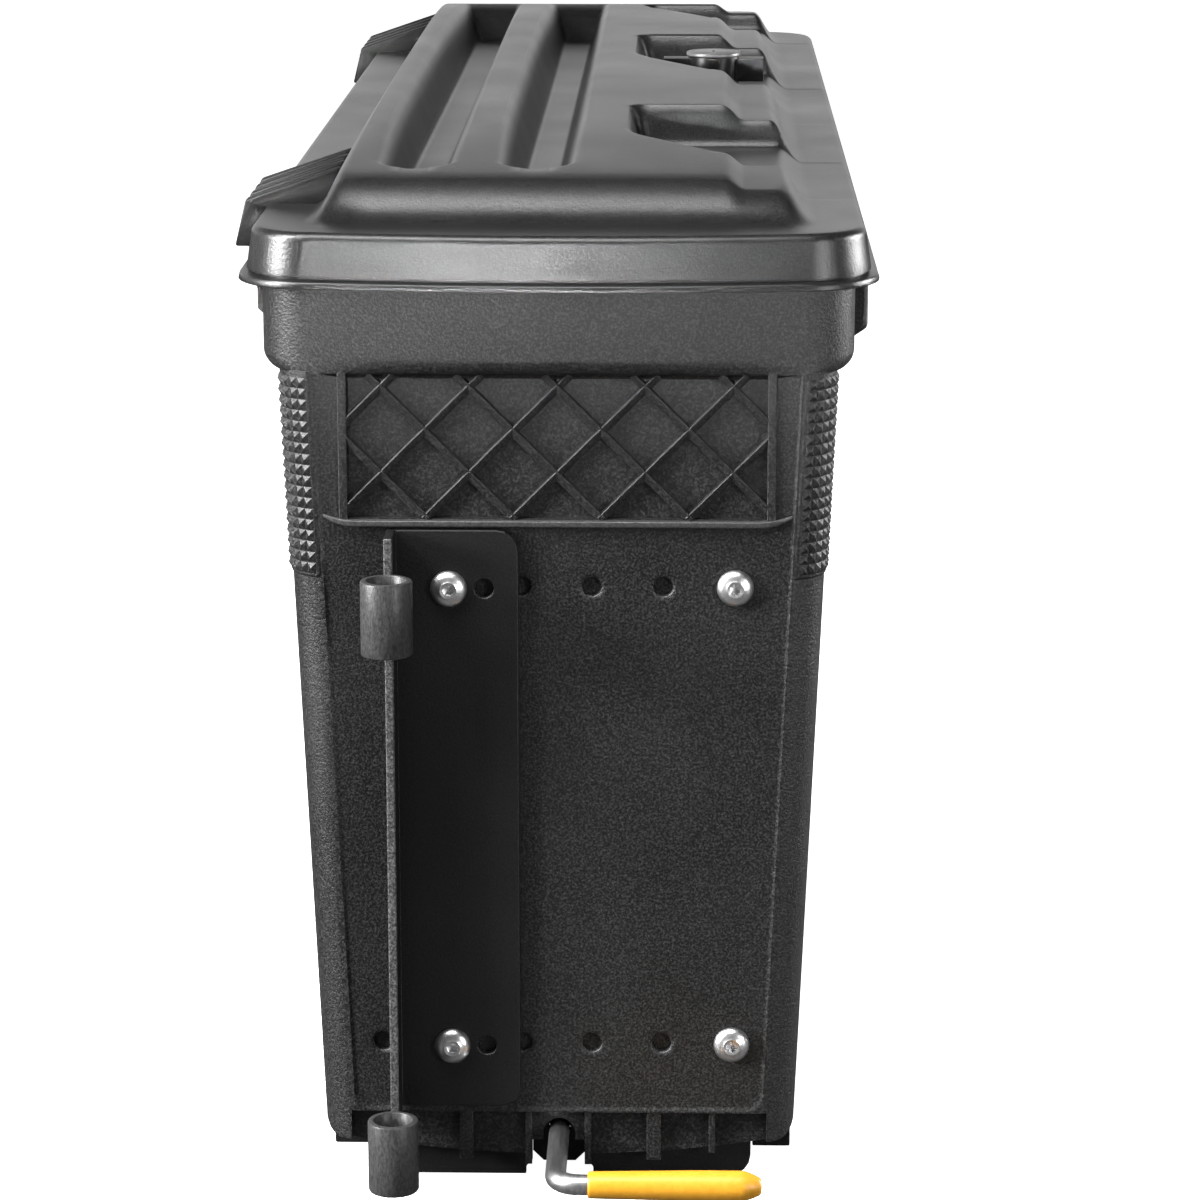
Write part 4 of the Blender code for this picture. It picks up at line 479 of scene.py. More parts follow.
def lidTop(x, y):
    s = lidSize
    shelf = s["shelfZ"]
    middle = (s["blockNear"] + s["blockFar"]) / 2
    half = (s["blockFar"] - s["blockNear"]) / 2 - s["endSlope"]
    along = np.clip((y - middle) / half, -1.08, 1.08)
    lift = s["farRise"] * (along + 1) / 2

    nearSlope, farSlope = s["blockRise"] / s["endSlope"], (s["blockRise"] + s["farRise"]) / s["endSlope"]
    ends = lower((y - s["blockNear"]) * nearSlope, (s["blockFar"] - y) * farSlope, 1.0)

    sides = lower((x - s["blockLeft"]) * s["blockRise"] / s["sideSlope"],
                  (s["blockRight"] - x) * s["blockRise"] / s["sideSlope"], 1.0)
    crown = 1 - along ** 4
    main = shelf + s["blockRise"] + s["crown"] * crown + lift
    main = lower(main, main + (s["stepX"] + 3 - x) * s["stepFall"], s["edgeSoft"])
    step = shelf + s["blockRise"] - s["drop"] + s["stepCrown"] * crown + lift
    shape = higher(main, step, 6.0)
    shape = lower(shape, shelf + lower(sides, ends, s["cornerSoft"]), s["edgeSoft"])
    flank = np.clip((np.abs(x) - (s["blockRight"] - 22)) / 18, 0, 1)
    foot = s["footSoft"] + (s["sideFootSoft"] - s["footSoft"]) * flank
    shape = higher(shape, np.full_like(x, shelf), foot)
    for centre in s["grooveCentres"]:
        r = s["grooveRound"] - 2
        acrossOut = np.abs(x - centre) - (s["grooveHalf"] - 2 - r)
        nearOut = (s["grooveNear"] + 2 + r) - y
        away = np.minimum(np.maximum(acrossOut, nearOut), 0) + np.hypot(
            np.maximum(acrossOut, 0), np.maximum(nearOut, 0)) - r
        wall = s["grooveFloor"] + higher(np.zeros_like(x), s["grooveDraft"] * away, 5.0)
        farFoot = s["grooveFar"] - s["grooveFarSlope"]
        ramp = s["grooveFloor"] + higher(np.zeros_like(x), s["grooveFarRamp"] * (y - farFoot), 3.0)
        shape = lower(shape, higher(wall, ramp, 4.0), s["grooveSoft"])
    for start, run, length in s["notches"]:
        reach = s["stepX"] - s["notchInner"]
        size = math.hypot(run, reach)
        slant = ((s["stepX"] - x) * run + (start - y) * reach) / size
        out = slant
        for side in (s["notchInner"] - x, start - y, y - (start + length)):
            out = higher(out, side, s["notchCorner"])
        wall = s["notchFloor"] + higher(np.zeros_like(x), s["notchDraft"] * (out + 1.2), 7.0)
        shape = lower(shape, wall, s["notchSoft"])
    return shape


def gate(value, low, high, ease):
    rise = np.clip((value - low) / ease, 0, 1)
    fall = np.clip((high - value) / ease, 0, 1)
    both = rise * fall
    return both * both * (3 - 2 * both)


def lidUnder(x, y):
    s = lidSize
    middle = (s["blockNear"] + s["blockFar"]) / 2
    half = (s["blockFar"] - s["blockNear"]) / 2 - s["endSlope"]
    along = np.clip((y - middle) / half, -1, 1)
    roof = s["shelfZ"] + s["blockRise"] + s["crown"] * (1 - along ** 4) - s["roofThick"]
    left, right = s["grooveCentres"]
    pocket = gate(x, left + 19, right - 19, 3.5) + gate(x, right + 19, s["notchInner"] - 3.2, 3.5)
    pocket = pocket * gate(y, s["blockNear"] + 8, s["blockFar"] - 8, 14)
    edge = s["blockNear"] + 8
    for start, _, length in s["notches"]:
        pocket = pocket + gate(x, s["notchInner"] + 2, 63, 5) * gate(y, edge, start - 5, 9)
        edge = start + length + 5
    return s["underZ"] + pocket * (roof - s["underZ"])


def fillGaps(values, widest):
    values = sorted(values)
    filled = [values[0]]
    for value in values[1:]:
        steps = max(1, math.ceil((value - filled[-1]) / widest - 1e-6))
        start = filled[-1]
        filled += [start + (value - start) * (i + 1) / steps for i in range(steps)]
    return filled


def lidColumns():
    s = lidSize
    edge = s["lipHalf"] - s["lipRadius"]
    lines = [-edge, edge] + list(np.arange(-105.2, -96, 1.35)) + list(np.arange(97, 106, 1.35))
    for centre in s["grooveCentres"]:
        for off in (3.5, 5.0, 6.3, 7.4, 8.4, 9.5, 11.2, 12.4, 13.2, 13.9, 14.5, 15.1, 15.7, 16.4, 17.2, 18.4,
                    20.5):
            lines += [centre - off, centre + off]
    lines += [s["notchInner"] + off
              for off in (-10, -6.5, -4.4, -3.1, -2.1, -1.2, -0.4, 0.4, 1.3, 2.3, 3.6, 5.5, 9)]
    lines += [66, 69, 71.5, 73.5, 75, 76.3, 77.6, 78.9, 80.2, 81.5, 82.8, 84.2, 86, 88.5, 92]
    return fillGaps([v for v in lines if -edge <= v <= edge], 8.0)


def lidRows():
    s = lidSize
    near = s["near"] + s["bow"] + s["lipRadius"]
    far = s["far"] - s["bow"] - s["lipRadius"]
    rows = [(v, v) for v in list(np.arange(near, 52, 1.7)) + [far]]
    rows += [(v, v) for v in np.arange(70.5, 88, 1.25)]
    rows += [(v, v) for v in np.arange(s["grooveFar"] - 27, s["grooveFar"] + 6, 2.0)]
    rows += [(v, v) for v in np.arange(843, far - 0.8, 1.7)]
    offsets = (-9, -6.2, -4.4, -3.1, -2.1, -1.2, -0.4, 0.5, 1.5, 2.7, 4.3, 7)
    for start, run, length in s["notches"]:
        rows += [(start + run + off, start + off) for off in offsets]
        rows += [(start + length - off, start + length - off) for off in offsets]
    rows.sort(key=lambda pair: pair[0] + pair[1])
    kept = [rows[0]]
    for row in rows[1:]:
        if row[0] - kept[-1][0] < 0.7 or row[1] - kept[-1][1] < 0.7:
            continue
        steps = max(1, math.ceil(max(row[0] - kept[-1][0], row[1] - kept[-1][1]) / 13 - 1e-6))
        start = kept[-1]
        for i in range(1, steps + 1):
            kept.append(tuple(a + (b - a) * i / steps for a, b in zip(start, row)))
    return kept


def makeLidShell():
    s = lidSize
    xs, rows = np.array(lidColumns()), lidRows()
    share = np.clip((xs - s["notchInner"]) / (s["stepX"] - s["notchInner"]), 0, 1)
    gridX = np.repeat(xs[None, :], len(rows), 0)
    gridY = np.array([[a + (b - a) * t for t in share] for a, b in rows])
    rowCount, columnCount = gridX.shape
    index = np.arange(rowCount * columnCount).reshape(rowCount, columnCount)
    # perimeter, anticlockwise from the near left corner: (grid index, way out, reach)
    edge = []
    flat = s["lipHalf"] - s["lipRadius"]
    fan = 9

    def corner(where, start):
        for i in range(1, fan):
            turn = math.radians(start + 90 * i / fan)
            edge.append((where, (math.cos(turn), math.sin(turn)), s["lipRadius"]))

    def bowed(x):
        return s["lipRadius"] + s["bow"] * (1 - (x / flat) ** 2)

    for i in range(columnCount):
        edge.append((index[0, i], (0, -1), bowed(xs[i])))
    corner(index[0, -1], 270)
    for j in range(rowCount):
        edge.append((index[j, -1], (1, 0), s["lipRadius"]))
    corner(index[-1, -1], 0)
    for i in range(columnCount)[::-1]:
        edge.append((index[-1, i], (0, 1), bowed(xs[i])))
    corner(index[-1, 0], 90)
    for j in range(rowCount)[::-1]:
        edge.append((index[j, 0], (-1, 0), s["lipRadius"]))
    corner(index[0, 0], 180)
    baseX, baseY = gridX.ravel()[[e[0] for e in edge]], gridY.ravel()[[e[0] for e in edge]]
    way = np.array([e[1] for e in edge])
    reach = np.array([e[2] for e in edge])
    full = s["lipRadius"] - s["edgeInset"]
    bands = []

    def addBand(out, height):
        x, y = baseX + way[:, 0] * out, baseY + way[:, 1] * out
        bands.append(np.column_stack((x, y, height(x, y))))

    for rho in list(np.arange(0, 15, 1.5)) + [18, 22, full]:
        addBand(rho * (reach - s["edgeInset"]) / full, lidTop)
    # (inset, height) down the wall, over the groove and lip, and up the inside
    section = [(6.1 + 4 * (1 - math.sin(t)), 446 + 4 * math.cos(t)) for t in np.radians(range(15, 91, 15))]
    section += [(5.5, 442), (4.9, 438), (4.4, 434.5), (3.95, 431.2), (3.9, 430.6), (5.5, 430.2), (5.5, 429.5),
                (3.6, 429.1), (1.8, 428.8), (0.95, 428.6), (0.6, 428.2), (0.42, 427.6), (0.05, 426),
                (0.15, 425.65), (0.5, 425.5), (3, 425.5), (6.3, 425.5), (6.75, 426), (9.0, 444.6),
                (9.6, 446.2), (11.0, 446.8)]
    for inset, z in section:
        addBand(reach - inset, lambda x, y: np.full_like(x, z))
    for rho in (20, 13, 9, 5, 0):
        addBand(rho * (reach - s["edgeInset"]) / full, lidUnder)
    verts = np.column_stack([gridX.ravel(), gridY.ravel(), lidTop(gridX, gridY).ravel()])
    under = np.column_stack([gridX.ravel(), gridY.ravel(), lidUnder(gridX, gridY).ravel()])
    faces = []
    for j in range(rowCount - 1):
        for i in range(columnCount - 1):
            faces.append((index[j, i], index[j, i + 1], index[j + 1, i + 1], index[j + 1, i]))
    base = len(verts)
    faces += [tuple(base + k for k in face[::-1]) for face in faces]
    start, count = 2 * base, len(edge)
    for level in range(len(bands) - 1):
        low, high = start + level * count, start + (level + 1) * count
        for i in range(count):
            j = (i + 1) % count
            faces.append((low + i, high + i, high + j, low + j))
    mesh = meshFrom("lidShell", np.vstack([verts, under] + bands), faces)
    tidyMesh(mesh, 0.01)
    return mesh


rimSize = {"half": 133.7, "near": -8.5, "far": 896.5, "corner": 26.5, "bow": 8}


def rimRing(inset, z):
    m = rimSize
    plan = roundedPlan(m["half"] - inset, m["near"] + inset, m["far"] - inset, m["corner"] - inset, m["bow"])
    return [(x, y, z) for x, y in plan]


def hingePocket(middle, left):
    s = lidSize
    return blockMesh("hingePocket", (left, middle - s["hingeHalf"], s["pocketLow"]),
                     (s["pocketX"], middle + s["hingeHalf"], s["pocketHigh"]))


def makeLid():
    s = lidSize
    lid = addObject("lidShell", makeLidShell())
    pockets = [hingePocket(y, -156) for y in s["hinges"]]
    bore = s["latchBore"]
    pockets.append(lathe("latchBore", [(bore, 440), (bore, 462)], "Z", s["latchAt"], 40))
    cutAway(lid, pockets)
    rib = loftMesh("sealRib", [rimRing(*corner) for corner in s["sealRib"]], closedLoop=True)
    tidyMesh(rib)
    mesh = joinMeshes("lidShell", takeMeshes([lid]) + [rib])
    return finishPiece("lidShell", mesh, 30, "lid", lidBlack, ("lid_shell",))


lidPiece = makeLid()
print("lid", len(lidPiece.data.polygons), "faces")

coverSize = {"tipX": -152.8, "tipZ": 430.0, "kneeX": -147.4, "kneeZ": 452.0, "topX": -103.5, "topZ": 467.0,
             "half": 37.8, "fins": 4, "finWidth": 8.0, "slot": 2.0, "wall": 2.5, "soft": 1.3,
             "backX": -138.0, "baseZ": 447.5}


def coverSection(depth):
    c = coverSize
    line = [(c["topX"], c["topZ"] - depth), (c["kneeX"] + depth / 2, c["kneeZ"] - depth),
            (c["tipX"] + depth, c["tipZ"])]
    return line + [(c["backX"], c["tipZ"]), (c["backX"], c["baseZ"]), (c["topX"], c["baseZ"])]


def makeHingeCovers():
    c = coverSize
    made = []
    for middle in lidSize["hinges"]:
        parts = [(coverSection(c["slot"]), middle - c["half"] + 0.4, middle + c["half"] - 0.4)]
        gap = (2 * c["half"] - c["fins"] * c["finWidth"]) / (c["fins"] - 1)
        for i in range(c["fins"]):
            start = middle - c["half"] + i * (c["finWidth"] + gap)
            parts.append((coverSection(0), start, start + c["finWidth"]))
        for outline, low, high in parts:
            item = addObject("coverPart", prismMesh("coverPart", outline, "Y", low, high))
            softEdges(item, c["soft"], 3, 20)
            made.append(cutAway(item, [hingePocket(middle, c["tipX"] + c["wall"])]))
    mesh = joinMeshes("hingeCovers", takeMeshes(made))
    return finishPiece("hingeCovers", mesh, 40, "lid", coverBlack)


makeHingeCovers()
print("hinge covers ready")


# The case is a loft of rounded plans, cut by the hollows of its near end.

caseSize = {
    "length": 888.0, "skirtZ": 13.5, "floorZ": 36.0, "underZ": 32.5, "collarZ": 386.0, "rimZ": 438.0,
    "bottomHalf": 109.5, "topHalf": 125.2, "corner": 18.0, "wall": 3.5, "endWall": 6.0, "deep": 505.0,
    "deepDraft": 8.0, "reliefZ": 264.0, "reliefRound": 120.0, "reliefRise": 5.0, "farDraft": 5.0,
    "overhang": 8.5, "collarRound": 8.0, "bow": 8.0, "bottomRound": 5.0, "columnRise": 0.8,
    "columnWidth": 15.5, "panelLow": 37.6, "panelRound": 8.0, "recessInset": 5.0, "recessNear": 8.0,
    "gussets": (80, 800), "gussetHalf": 20,
    "gussetOutline": ((130, 389.7), (141.2, 397.2), (141.2, 423.7), (130, 423.7)),
}


def sideHalf(z):
    c = caseSize
    share = (c["topHalf"] - c["bottomHalf"]) * (z - c["skirtZ"]) / (c["collarZ"] - c["skirtZ"])
    return c["bottomHalf"] + share


def farLine(start, inset):
    c = caseSize
    centre = (c["deep"] + c["deepDraft"] + c["reliefRound"], c["reliefZ"] - c["reliefRound"])
    points = [(c["deep"] - inset, start)]
    points += arcPoints(centre, c["reliefRound"] + inset, 180, 90, 14)
    points.append((c["length"] - c["farDraft"] - inset, c["reliefZ"] + c["reliefRise"] + inset))
    points.append((c["length"] - inset, c["collarZ"]))
    return points


def ringAt(plan, z):
    return [(x, y, z) for x, y in plan]


def makeTub():
    c = caseSize
    rings = []
    near = -c["columnRise"]
    for i in range(9):
        turn = math.radians(90 * i / 8)
        shrink = c["bottomRound"] * (1 - math.sin(turn))
        z = c["skirtZ"] + c["bottomRound"] * (1 - math.cos(turn))
        plan = roundedPlan(sideHalf(z) - shrink, near + shrink / 2, c["deep"] - shrink / 2, c["corner"])
        rings.append(ringAt(plan, z))
    for far, z in farLine(c["skirtZ"] + c["bottomRound"], 0)[1:]:
        rings.append(ringAt(roundedPlan(sideHalf(z), near, far, c["corner"]), z))
    for i in range(1, 9):
        turn = math.radians(90 * i / 8)
        out = c["overhang"] * math.sin(turn)
        start = near * (1 - math.sin(turn)) - out
        plan = roundedPlan(c["topHalf"] + out, start, c["length"] + out, c["corner"] + out,
                           c["bow"] * math.sin(turn))
        rings.append(ringAt(plan, c["collarZ"] + c["collarRound"] * (1 - math.cos(turn))))
    wall, rim = c["wall"], c["rimZ"]
    for inset, drop in ((0, 0.8), (0.3, 0.2), (0.9, 0), (wall - 0.9, 0), (wall - 0.3, 0.2), (wall, 0.8)):
        rings.append(rimRing(inset, rim - drop))
    rings.append(rimRing(wall, c["collarZ"] + c["collarRound"] + wall))
    inside = [ringAt(roundedPlan(sideHalf(z) - wall, c["endWall"], far, c["corner"] - wall), z)
              for far, z in farLine(c["floorZ"], wall)]
    mesh = loftMesh("caseBody", rings + inside[::-1])
    tidyMesh(mesh)
    return mesh


rodSize = {"z": 23.8, "radius": 4.8, "reach": -60.0, "bend": 11.0, "gripStart": 15.0, "gripEnd": 94.0,
           "gripRadius": 7.0, "gripTip": 10.0, "gripThin": 0.88}

endSize = {
    "windowHalf": 96.5, "windowLow": 320.0, "windowHigh": 384.0, "windowDepth": 3.0,
    "ribPitch": 39.6, "ribFoot": 6.2, "ribTop": 3.0, "ribRound": 0.5, "frameWidth": 3.0,
    "ledgeZ": 318.0, "ledgeHalf": 106.0, "ledgeReach": 3.5, "ledgeThick": 2.9,
    "ledgeTail": 14.0, "ledgeTailRise": 3.2,
    "holeColumns": (-81.5, -49.1, -16.7, 15.7, 48.1, 80.5), "holeRows": (70.0, 288.4), "holeRadius": 4.2,
    "holeDepth": 3.2, "screwColumns": (1, 5), "screwDepth": 7.5,
    "skirtHalf": 97.0, "skirtSetback": 4.0, "skirtBow": 8.0, "skirtCut": (-3, 9),
    "archHalf": 12.6, "archEdge": 20.5, "archRadius": 7.5,
    "farArch": ((-12.8, 0), (12.8, 0), (12.8, 26.1), (6.4, 32.5), (-6.4, 32.5), (-12.8, 26.1)),
    "skirtRibs": ((-43.3, 6.2, 3.0), (-14.1, 2.8, 4.0), (13.6, 2.8, 4.0), (44.5, 6.4, 3.0),
                  (71.7, 2.8, 2.0)),  # x, width, reach under the skirt's edge
    "padLow": 293.0, "padHigh": 385.0, "padRise": 0.7, "toothPitch": 5.0, "toothWidth": 4.3, "toothRise": 1.5,
}


def panelOutline(grow):
    c = caseSize
    low, high, r = c["panelLow"] - grow, c["collarZ"], c["panelRound"]
    right = [(sideHalf(low) - c["columnWidth"] + grow, low), (sideHalf(high) - c["columnWidth"] + grow, high)]
    outline = arcPoints((right[0][0] - r, low + r), r, -90, 0, 8) + [right[1]]
    return outline + [(-x, z) for x, z in outline[::-1]]


def endCutters():
    c, e = caseSize, endSize
    slope = [(3.0 * t - 1.5, -0.54 * c["columnRise"] * (1 - math.cos(math.pi * t)))
             for t in np.linspace(0, 1, 11)]
    panel = loftMesh("panel", [[(x, depth, z) for x, z in panelOutline(grow)]
                               for grow, depth in [(1.7, -4)] + slope[::-1] + [(-3, 0)]])
    inset = c["recessInset"]
    recess = roundedPlan(c["bottomHalf"] - inset, c["recessNear"], c["deep"] - inset, c["corner"] - inset)
    cutters = [panel, loftMesh("recess", [ringAt(recess, 0), ringAt(recess, c["underZ"])])]
    for mesh in cutters:
        tidyMesh(mesh)
    cutters.append(blockMesh("window", (-e["windowHalf"], -9, e["windowLow"]),
                             (e["windowHalf"], e["windowDepth"], e["windowHigh"])))
    half, low = e["skirtHalf"], c["skirtZ"]
    cutters.append(blockMesh("bay", (-half, -3, low - 3), (half, e["skirtSetback"], c["floorZ"])))
    curve = [(half * i / 10, low + e["skirtBow"] * (i / 10) ** 2) for i in range(-10, 11)]
    side = c["bottomHalf"] * 1.2
    under = [(-side, 4), (-side, low + e["skirtBow"])] + curve + [(side, low + e["skirtBow"]), (side, 4)]
    cutters.append(prismMesh("skirtEdge", under, "Y", *e["skirtCut"]))
    cutters.append(cornerFeet())
    half, edge, r = e["archHalf"], e["archEdge"], e["archRadius"]
    mouth = [(-half, 0), (half, 0), (half, edge), (r, edge)] + arcPoints((0, rodSize["z"]), r, 0, 180, 16)
    mouth += [(-r, edge), (-half, edge)]
    cutters.append(prismMesh("nearArch", mouth, "Y", *e["skirtCut"]))
    cutters.append(prismMesh("farArch", e["farArch"], "Y", c["deep"] - 6, c["deep"] + 8))
    cutters.append(panelHoles())
    return cutters


def panelHoles():
    e = endSize
    holes = []
    for column, x in enumerate(e["holeColumns"]):
        for z in e["holeRows"]:
            deep = e["screwDepth"] if column in e["screwColumns"] else e["holeDepth"]
            r = e["holeRadius"]
            rim = [(r + 2.6 - 2.0 * t, 0.45 * t * t) for t in np.linspace(0, 1, 6)]
            profile = [(r + 2.8, -2)] + rim + [(r + 0.2, 0.9), (r, 1.4), (r, deep)]
            holes.append(lathe("hole", profile, "Y", (x, z), 40))
    return joinMeshes("holes", holes)


def cornerFeet():
    c, e = caseSize, endSize
    meshes = []
    for side in (-1, 1):
        rings = []
        for y, rise, r in ((-4, e["skirtBow"], 9.0), (14, e["skirtBow"], 9.0), (70, -1.5, 5.0)):
            low = c["skirtZ"] + rise
            edge = sideHalf(low + r)
            arc = arcPoints((edge - r, low + r), r, 270, 360, 10)
            inner = e["skirtHalf"] - 1.5
            line = [(inner, low)] + arc + [(edge + 20, low + r), (edge + 20, 2), (inner, 2)]
            rings.append([(side * x, y, z) for x, z in line])
        mesh = loftMesh("foot", rings)
        tidyMesh(mesh)
        meshes.append(mesh)
    return joinMeshes("cornerFeet", meshes)


def makeCase():
    c = caseSize
    case = addObject("caseBody", makeTub())
    cutAway(case, endCutters())
    tidyMesh(case.data, 0.05)
    parts = [case]
    for middle in c["gussets"]:
        low, high = middle - c["gussetHalf"], middle + c["gussetHalf"]
        item = addObject("gusset", prismMesh("gusset", c["gussetOutline"], "Y", low, high))
        parts.append(softEdges(item, 2.0, 3, 20))
    mesh = joinMeshes("caseBody", takeMeshes(parts))
    return finishPiece("caseBody", mesh, 14, "case", caseBlack, ("case_body",))


casePiece = makeCase()
print("case", len(casePiece.data.polygons), "faces")


def latticeLines():
    e = endSize
    half, low, high = e["windowHalf"], e["windowLow"] - 0.5, e["windowHigh"] + 1.5
    families = []
    for way in (-1, 1):
        lines = []
        families.append(lines)
        for n in range(-6, 7):
            # 45 degree line from the bottom to the top of the window, trimmed to its sides
            offset = e["ribPitch"] * (n + 0.5)
            (x0, z0), (x1, z1) = [(offset - way * (z - e["windowLow"]), z) for z in (low, high)]
            start, stop = 0.0, 1.0
            for limit in (-half, half):
                crossing = (limit - x0) / (x1 - x0)
                if (x1 - x0 > 0) == (limit > 0):
                    stop = min(stop, crossing)
                else:
                    start = max(start, crossing)
            if stop - start > 0.02:
                lines.append([(x0 + (x1 - x0) * t, z0 + (z1 - z0) * t) for t in (start, stop)])
    return families


def ribsOn(name, lines, foot, top, depth, rise):
    verts, edges = [], []
    for line in lines:
        edges.append((len(verts), len(verts) + 1))
        verts += [(x, depth / 2 - rise, z) for x, z in line]
    mesh = bpy.data.meshes.new(name)
    mesh.from_pydata(verts, edges, [])
    return runTree(name, mesh, ribTree, {"Foot Width": foot, "Top Width": top, "Depth": depth,
                                         "Edge Round": endSize["ribRound"], "Finish": caseBlack})


def makeLattice():
    e = endSize
    rising, falling = latticeLines()
    half, low, high = e["windowHalf"], e["windowLow"] - 1, e["windowHigh"] + 3
    bars = [[(side * half, low), (side * half, high)] for side in (-1, 1)]
    depth = e["windowDepth"]
    parts = [ribsOn("risingRibs", rising, e["ribFoot"], e["ribTop"], depth + 0.5, 0.1),
             ribsOn("fallingRibs", falling, e["ribFoot"], e["ribTop"], depth + 0.7, 0.3),
             ribsOn("frameRibs", bars, e["frameWidth"] + 1.2, e["frameWidth"], depth + 1.7, 1.3)]
    mesh = joinMeshes("latticeRibs", takeMeshes(parts))
    return finishPiece("latticeRibs", mesh, 40, "case", caseBlack)


makeLattice()


def makeSkirtRibs():
    e, c = endSize, caseSize
    parts = []
    for x, width, drop in e["skirtRibs"]:
        low = c["skirtZ"] + e["skirtBow"] * (x / e["skirtHalf"]) ** 2 - drop
        line = [(x, low), (x, c["floorZ"] - 0.2)]
        parts.append(ribsOn("skirtRib", [line], width + 0.4, width, e["skirtSetback"] + 1.5, -0.3))
    mesh = joinMeshes("skirtRibs", takeMeshes(parts))
    return finishPiece("skirtRibs", mesh, 40, "case", caseBlack)


makeSkirtRibs()


def makeLedge():
    e = endSize
    rings = []
    for i in range(61):
        x = e["ledgeHalf"] * (i / 30 - 1)
        left = max(0.0, (abs(x) - (e["ledgeHalf"] - e["ledgeTail"])) / e["ledgeTail"])
        reach = e["ledgeReach"] * (1 - left ** 2.2) + 0.05
        z = e["ledgeZ"] + e["ledgeTailRise"] * left ** 2
        thick = e["ledgeThick"] * (1 - 0.55 * left ** 2) / 2
        r = min(reach, thick) * 0.5
        section = [(2, z - thick), (2, z + thick)]
        section += arcPoints((-reach + r, z + thick - r), r, 90, 180, 4)
        section += arcPoints((-reach + r, z - thick + r), r, 180, 270, 4)
        rings.append([(x, y, height) for y, height in section])
    mesh = loftMesh("endLedge", rings)
    tidyMesh(mesh, 0.0005)
    return finishPiece("endLedge", mesh, 40, "case", ledgeBlack)


makeLedge()


def padPath(side, z):
    # (x, y, outward, share of the rise) round one near corner: from the end's arc to the side
    r, near = caseSize["corner"], -caseSize["columnRise"]
    half = sideHalf(z)
    path = []
    for i, degrees in enumerate((12, 14.5, 17, *range(22, 91, 6))):
        turn = math.radians(degrees)
        out = (side * math.sin(turn), -math.cos(turn))
        share = (0.05, 0.7, 1.0)[min(i, 2)]
        path.append((side * (half - r) + r * out[0], near + r + r * out[1], out, share))
    for run, share in ((5, 1.0), (10, 1.0), (10.6, 0.7), (11.2, 0.05)):
        path.append((side * half, near + r + run, (side, 0), share))
    return path


def makeGripPads():
    e = endSize
    meshes, places = [], []
    r, near = caseSize["corner"], -caseSize["columnRise"]
    for side in (-1, 1):
        rings = []
        for z, share in ((e["padLow"] - 0.9, -0.3), (e["padLow"] - 0.3, 0.6), (e["padLow"] + 0.4, 1.0),
                         (330, 1.0), (e["padHigh"], 1.0), (e["padHigh"] + 2, 1.0)):
            outer, inner = [], []
            for x, y, out, part in padPath(side, z):
                lift = e["padRise"] * share * part
                outer.append((x + out[0] * lift, y + out[1] * lift, z))
                inner.append((x - out[0] * 1.5, y - out[1] * 1.5, z))
            ring = outer + inner[::-1]
            rings.append(ring if side > 0 else ring[::-1])
        mesh = loftMesh("pad", rings)
        tidyMesh(mesh)
        meshes.append(mesh)
        rows = int((e["padHigh"] - e["padLow"] - 1) / e["toothPitch"])
        for row in range(rows):
            z = e["padLow"] + 1.2 + (row + 0.5) * e["toothPitch"]
            half = sideHalf(z)
            for column in range(5):
                turn = math.radians(24.5) + column * e["toothWidth"] / (r + e["padRise"])
                out = (side * math.sin(turn), -math.cos(turn), 0)
                rise = r + e["padRise"] - 0.12
                places.append(((side * (half - r) + rise * out[0], near + r + rise * out[1], z), facing(out)))
            for column in range(2):
                run = r + 1.6 + (column + 0.5) * e["toothWidth"]
                places.append(((side * (half + e["padRise"] - 0.12), near + run, z), facing((side, 0, 0))))
    w, h = e["toothWidth"] / 2, e["toothPitch"] / 2
    base = [(-w, -h), (w, -h), (w, h), (-w, h)]
    corners = [(x, y, z) for z in (-0.4, 0) for x, y in base] + [(0, 0, e["toothRise"])]
    tooth = meshFrom("tooth", corners, [(3, 2, 1, 0), (0, 1, 5, 4), (1, 2, 6, 5), (2, 3, 7, 6), (3, 0, 4, 7),
                                        (4, 5, 8), (5, 6, 8), (6, 7, 8), (7, 4, 8)])
    teeth = scatter("cornerTeeth", places, tooth, caseBlack)
    pads = joinMeshes("cornerPads", meshes + takeMeshes([teeth]))
    return finishPiece("cornerPads", pads, 14, "case", caseBlack)


makeGripPads()
print("end panel dressed")

# Bracket, barrels and screws on the end panel.

bracketSize = {"barrelX": -75.0, "barrelY": -35.0, "barrelRadius": 11.65, "bore": 8.6, "barrelLength": 34.0,
               "lowerZ": 10.8, "upperZ": 265.5, "soft": 0.7, "seatOnPlate": -4.6, "seatOnPanel": -0.3,
               "headRadius": 8.35, "headRise": 4.6, "socket": 2.8, "socketDepth": 2.4,
               # the last two values are the speckle colours of the painted highlight on the fin's near edge
               "edgeHighlightDark": 0.02, "edgeHighlightPale": 0.14}



def makeBracketEdgeHighlight():
    # painted highlight: the fin's near edge face is coloured paler than the plate, standing in for the light
    # that falls on that edge
    material = bracketBlack.copy()
    material.name = "bracketEdged"
    tree = material.node_tree
    link = tree.links.new
    base = tree.nodes["Principled BSDF"].inputs["Base Color"]
    plate = base.links[0].from_socket
    grain = next(node for node in tree.nodes if node.type == "GROUP")
    pale = rampNode(tree, grain.outputs["Speckle"], 0.4, 0.72, grey(bracketSize["edgeHighlightDark"]),
                    grey(bracketSize["edgeHighlightPale"]))
    place = tree.nodes.new("ShaderNodeTexCoord")
    split = tree.nodes.new("ShaderNodeSeparateXYZ")
    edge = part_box("hinge_bracket")[0][1]
    mixed = nodeAt(tree, "ShaderNodeMix", data_type="RGBA")
    link(place.outputs["Object"], split.inputs[0])
    link(mapRange(tree, split.outputs["Y"], edge + 1.2 * mm, edge + 0.3 * mm, 0.0, 1.0), mixed.inputs[0])
    link(plate, mixed.inputs[6])
    link(pale, mixed.inputs[7])
    link(mixed.outputs[2], base)
    return material


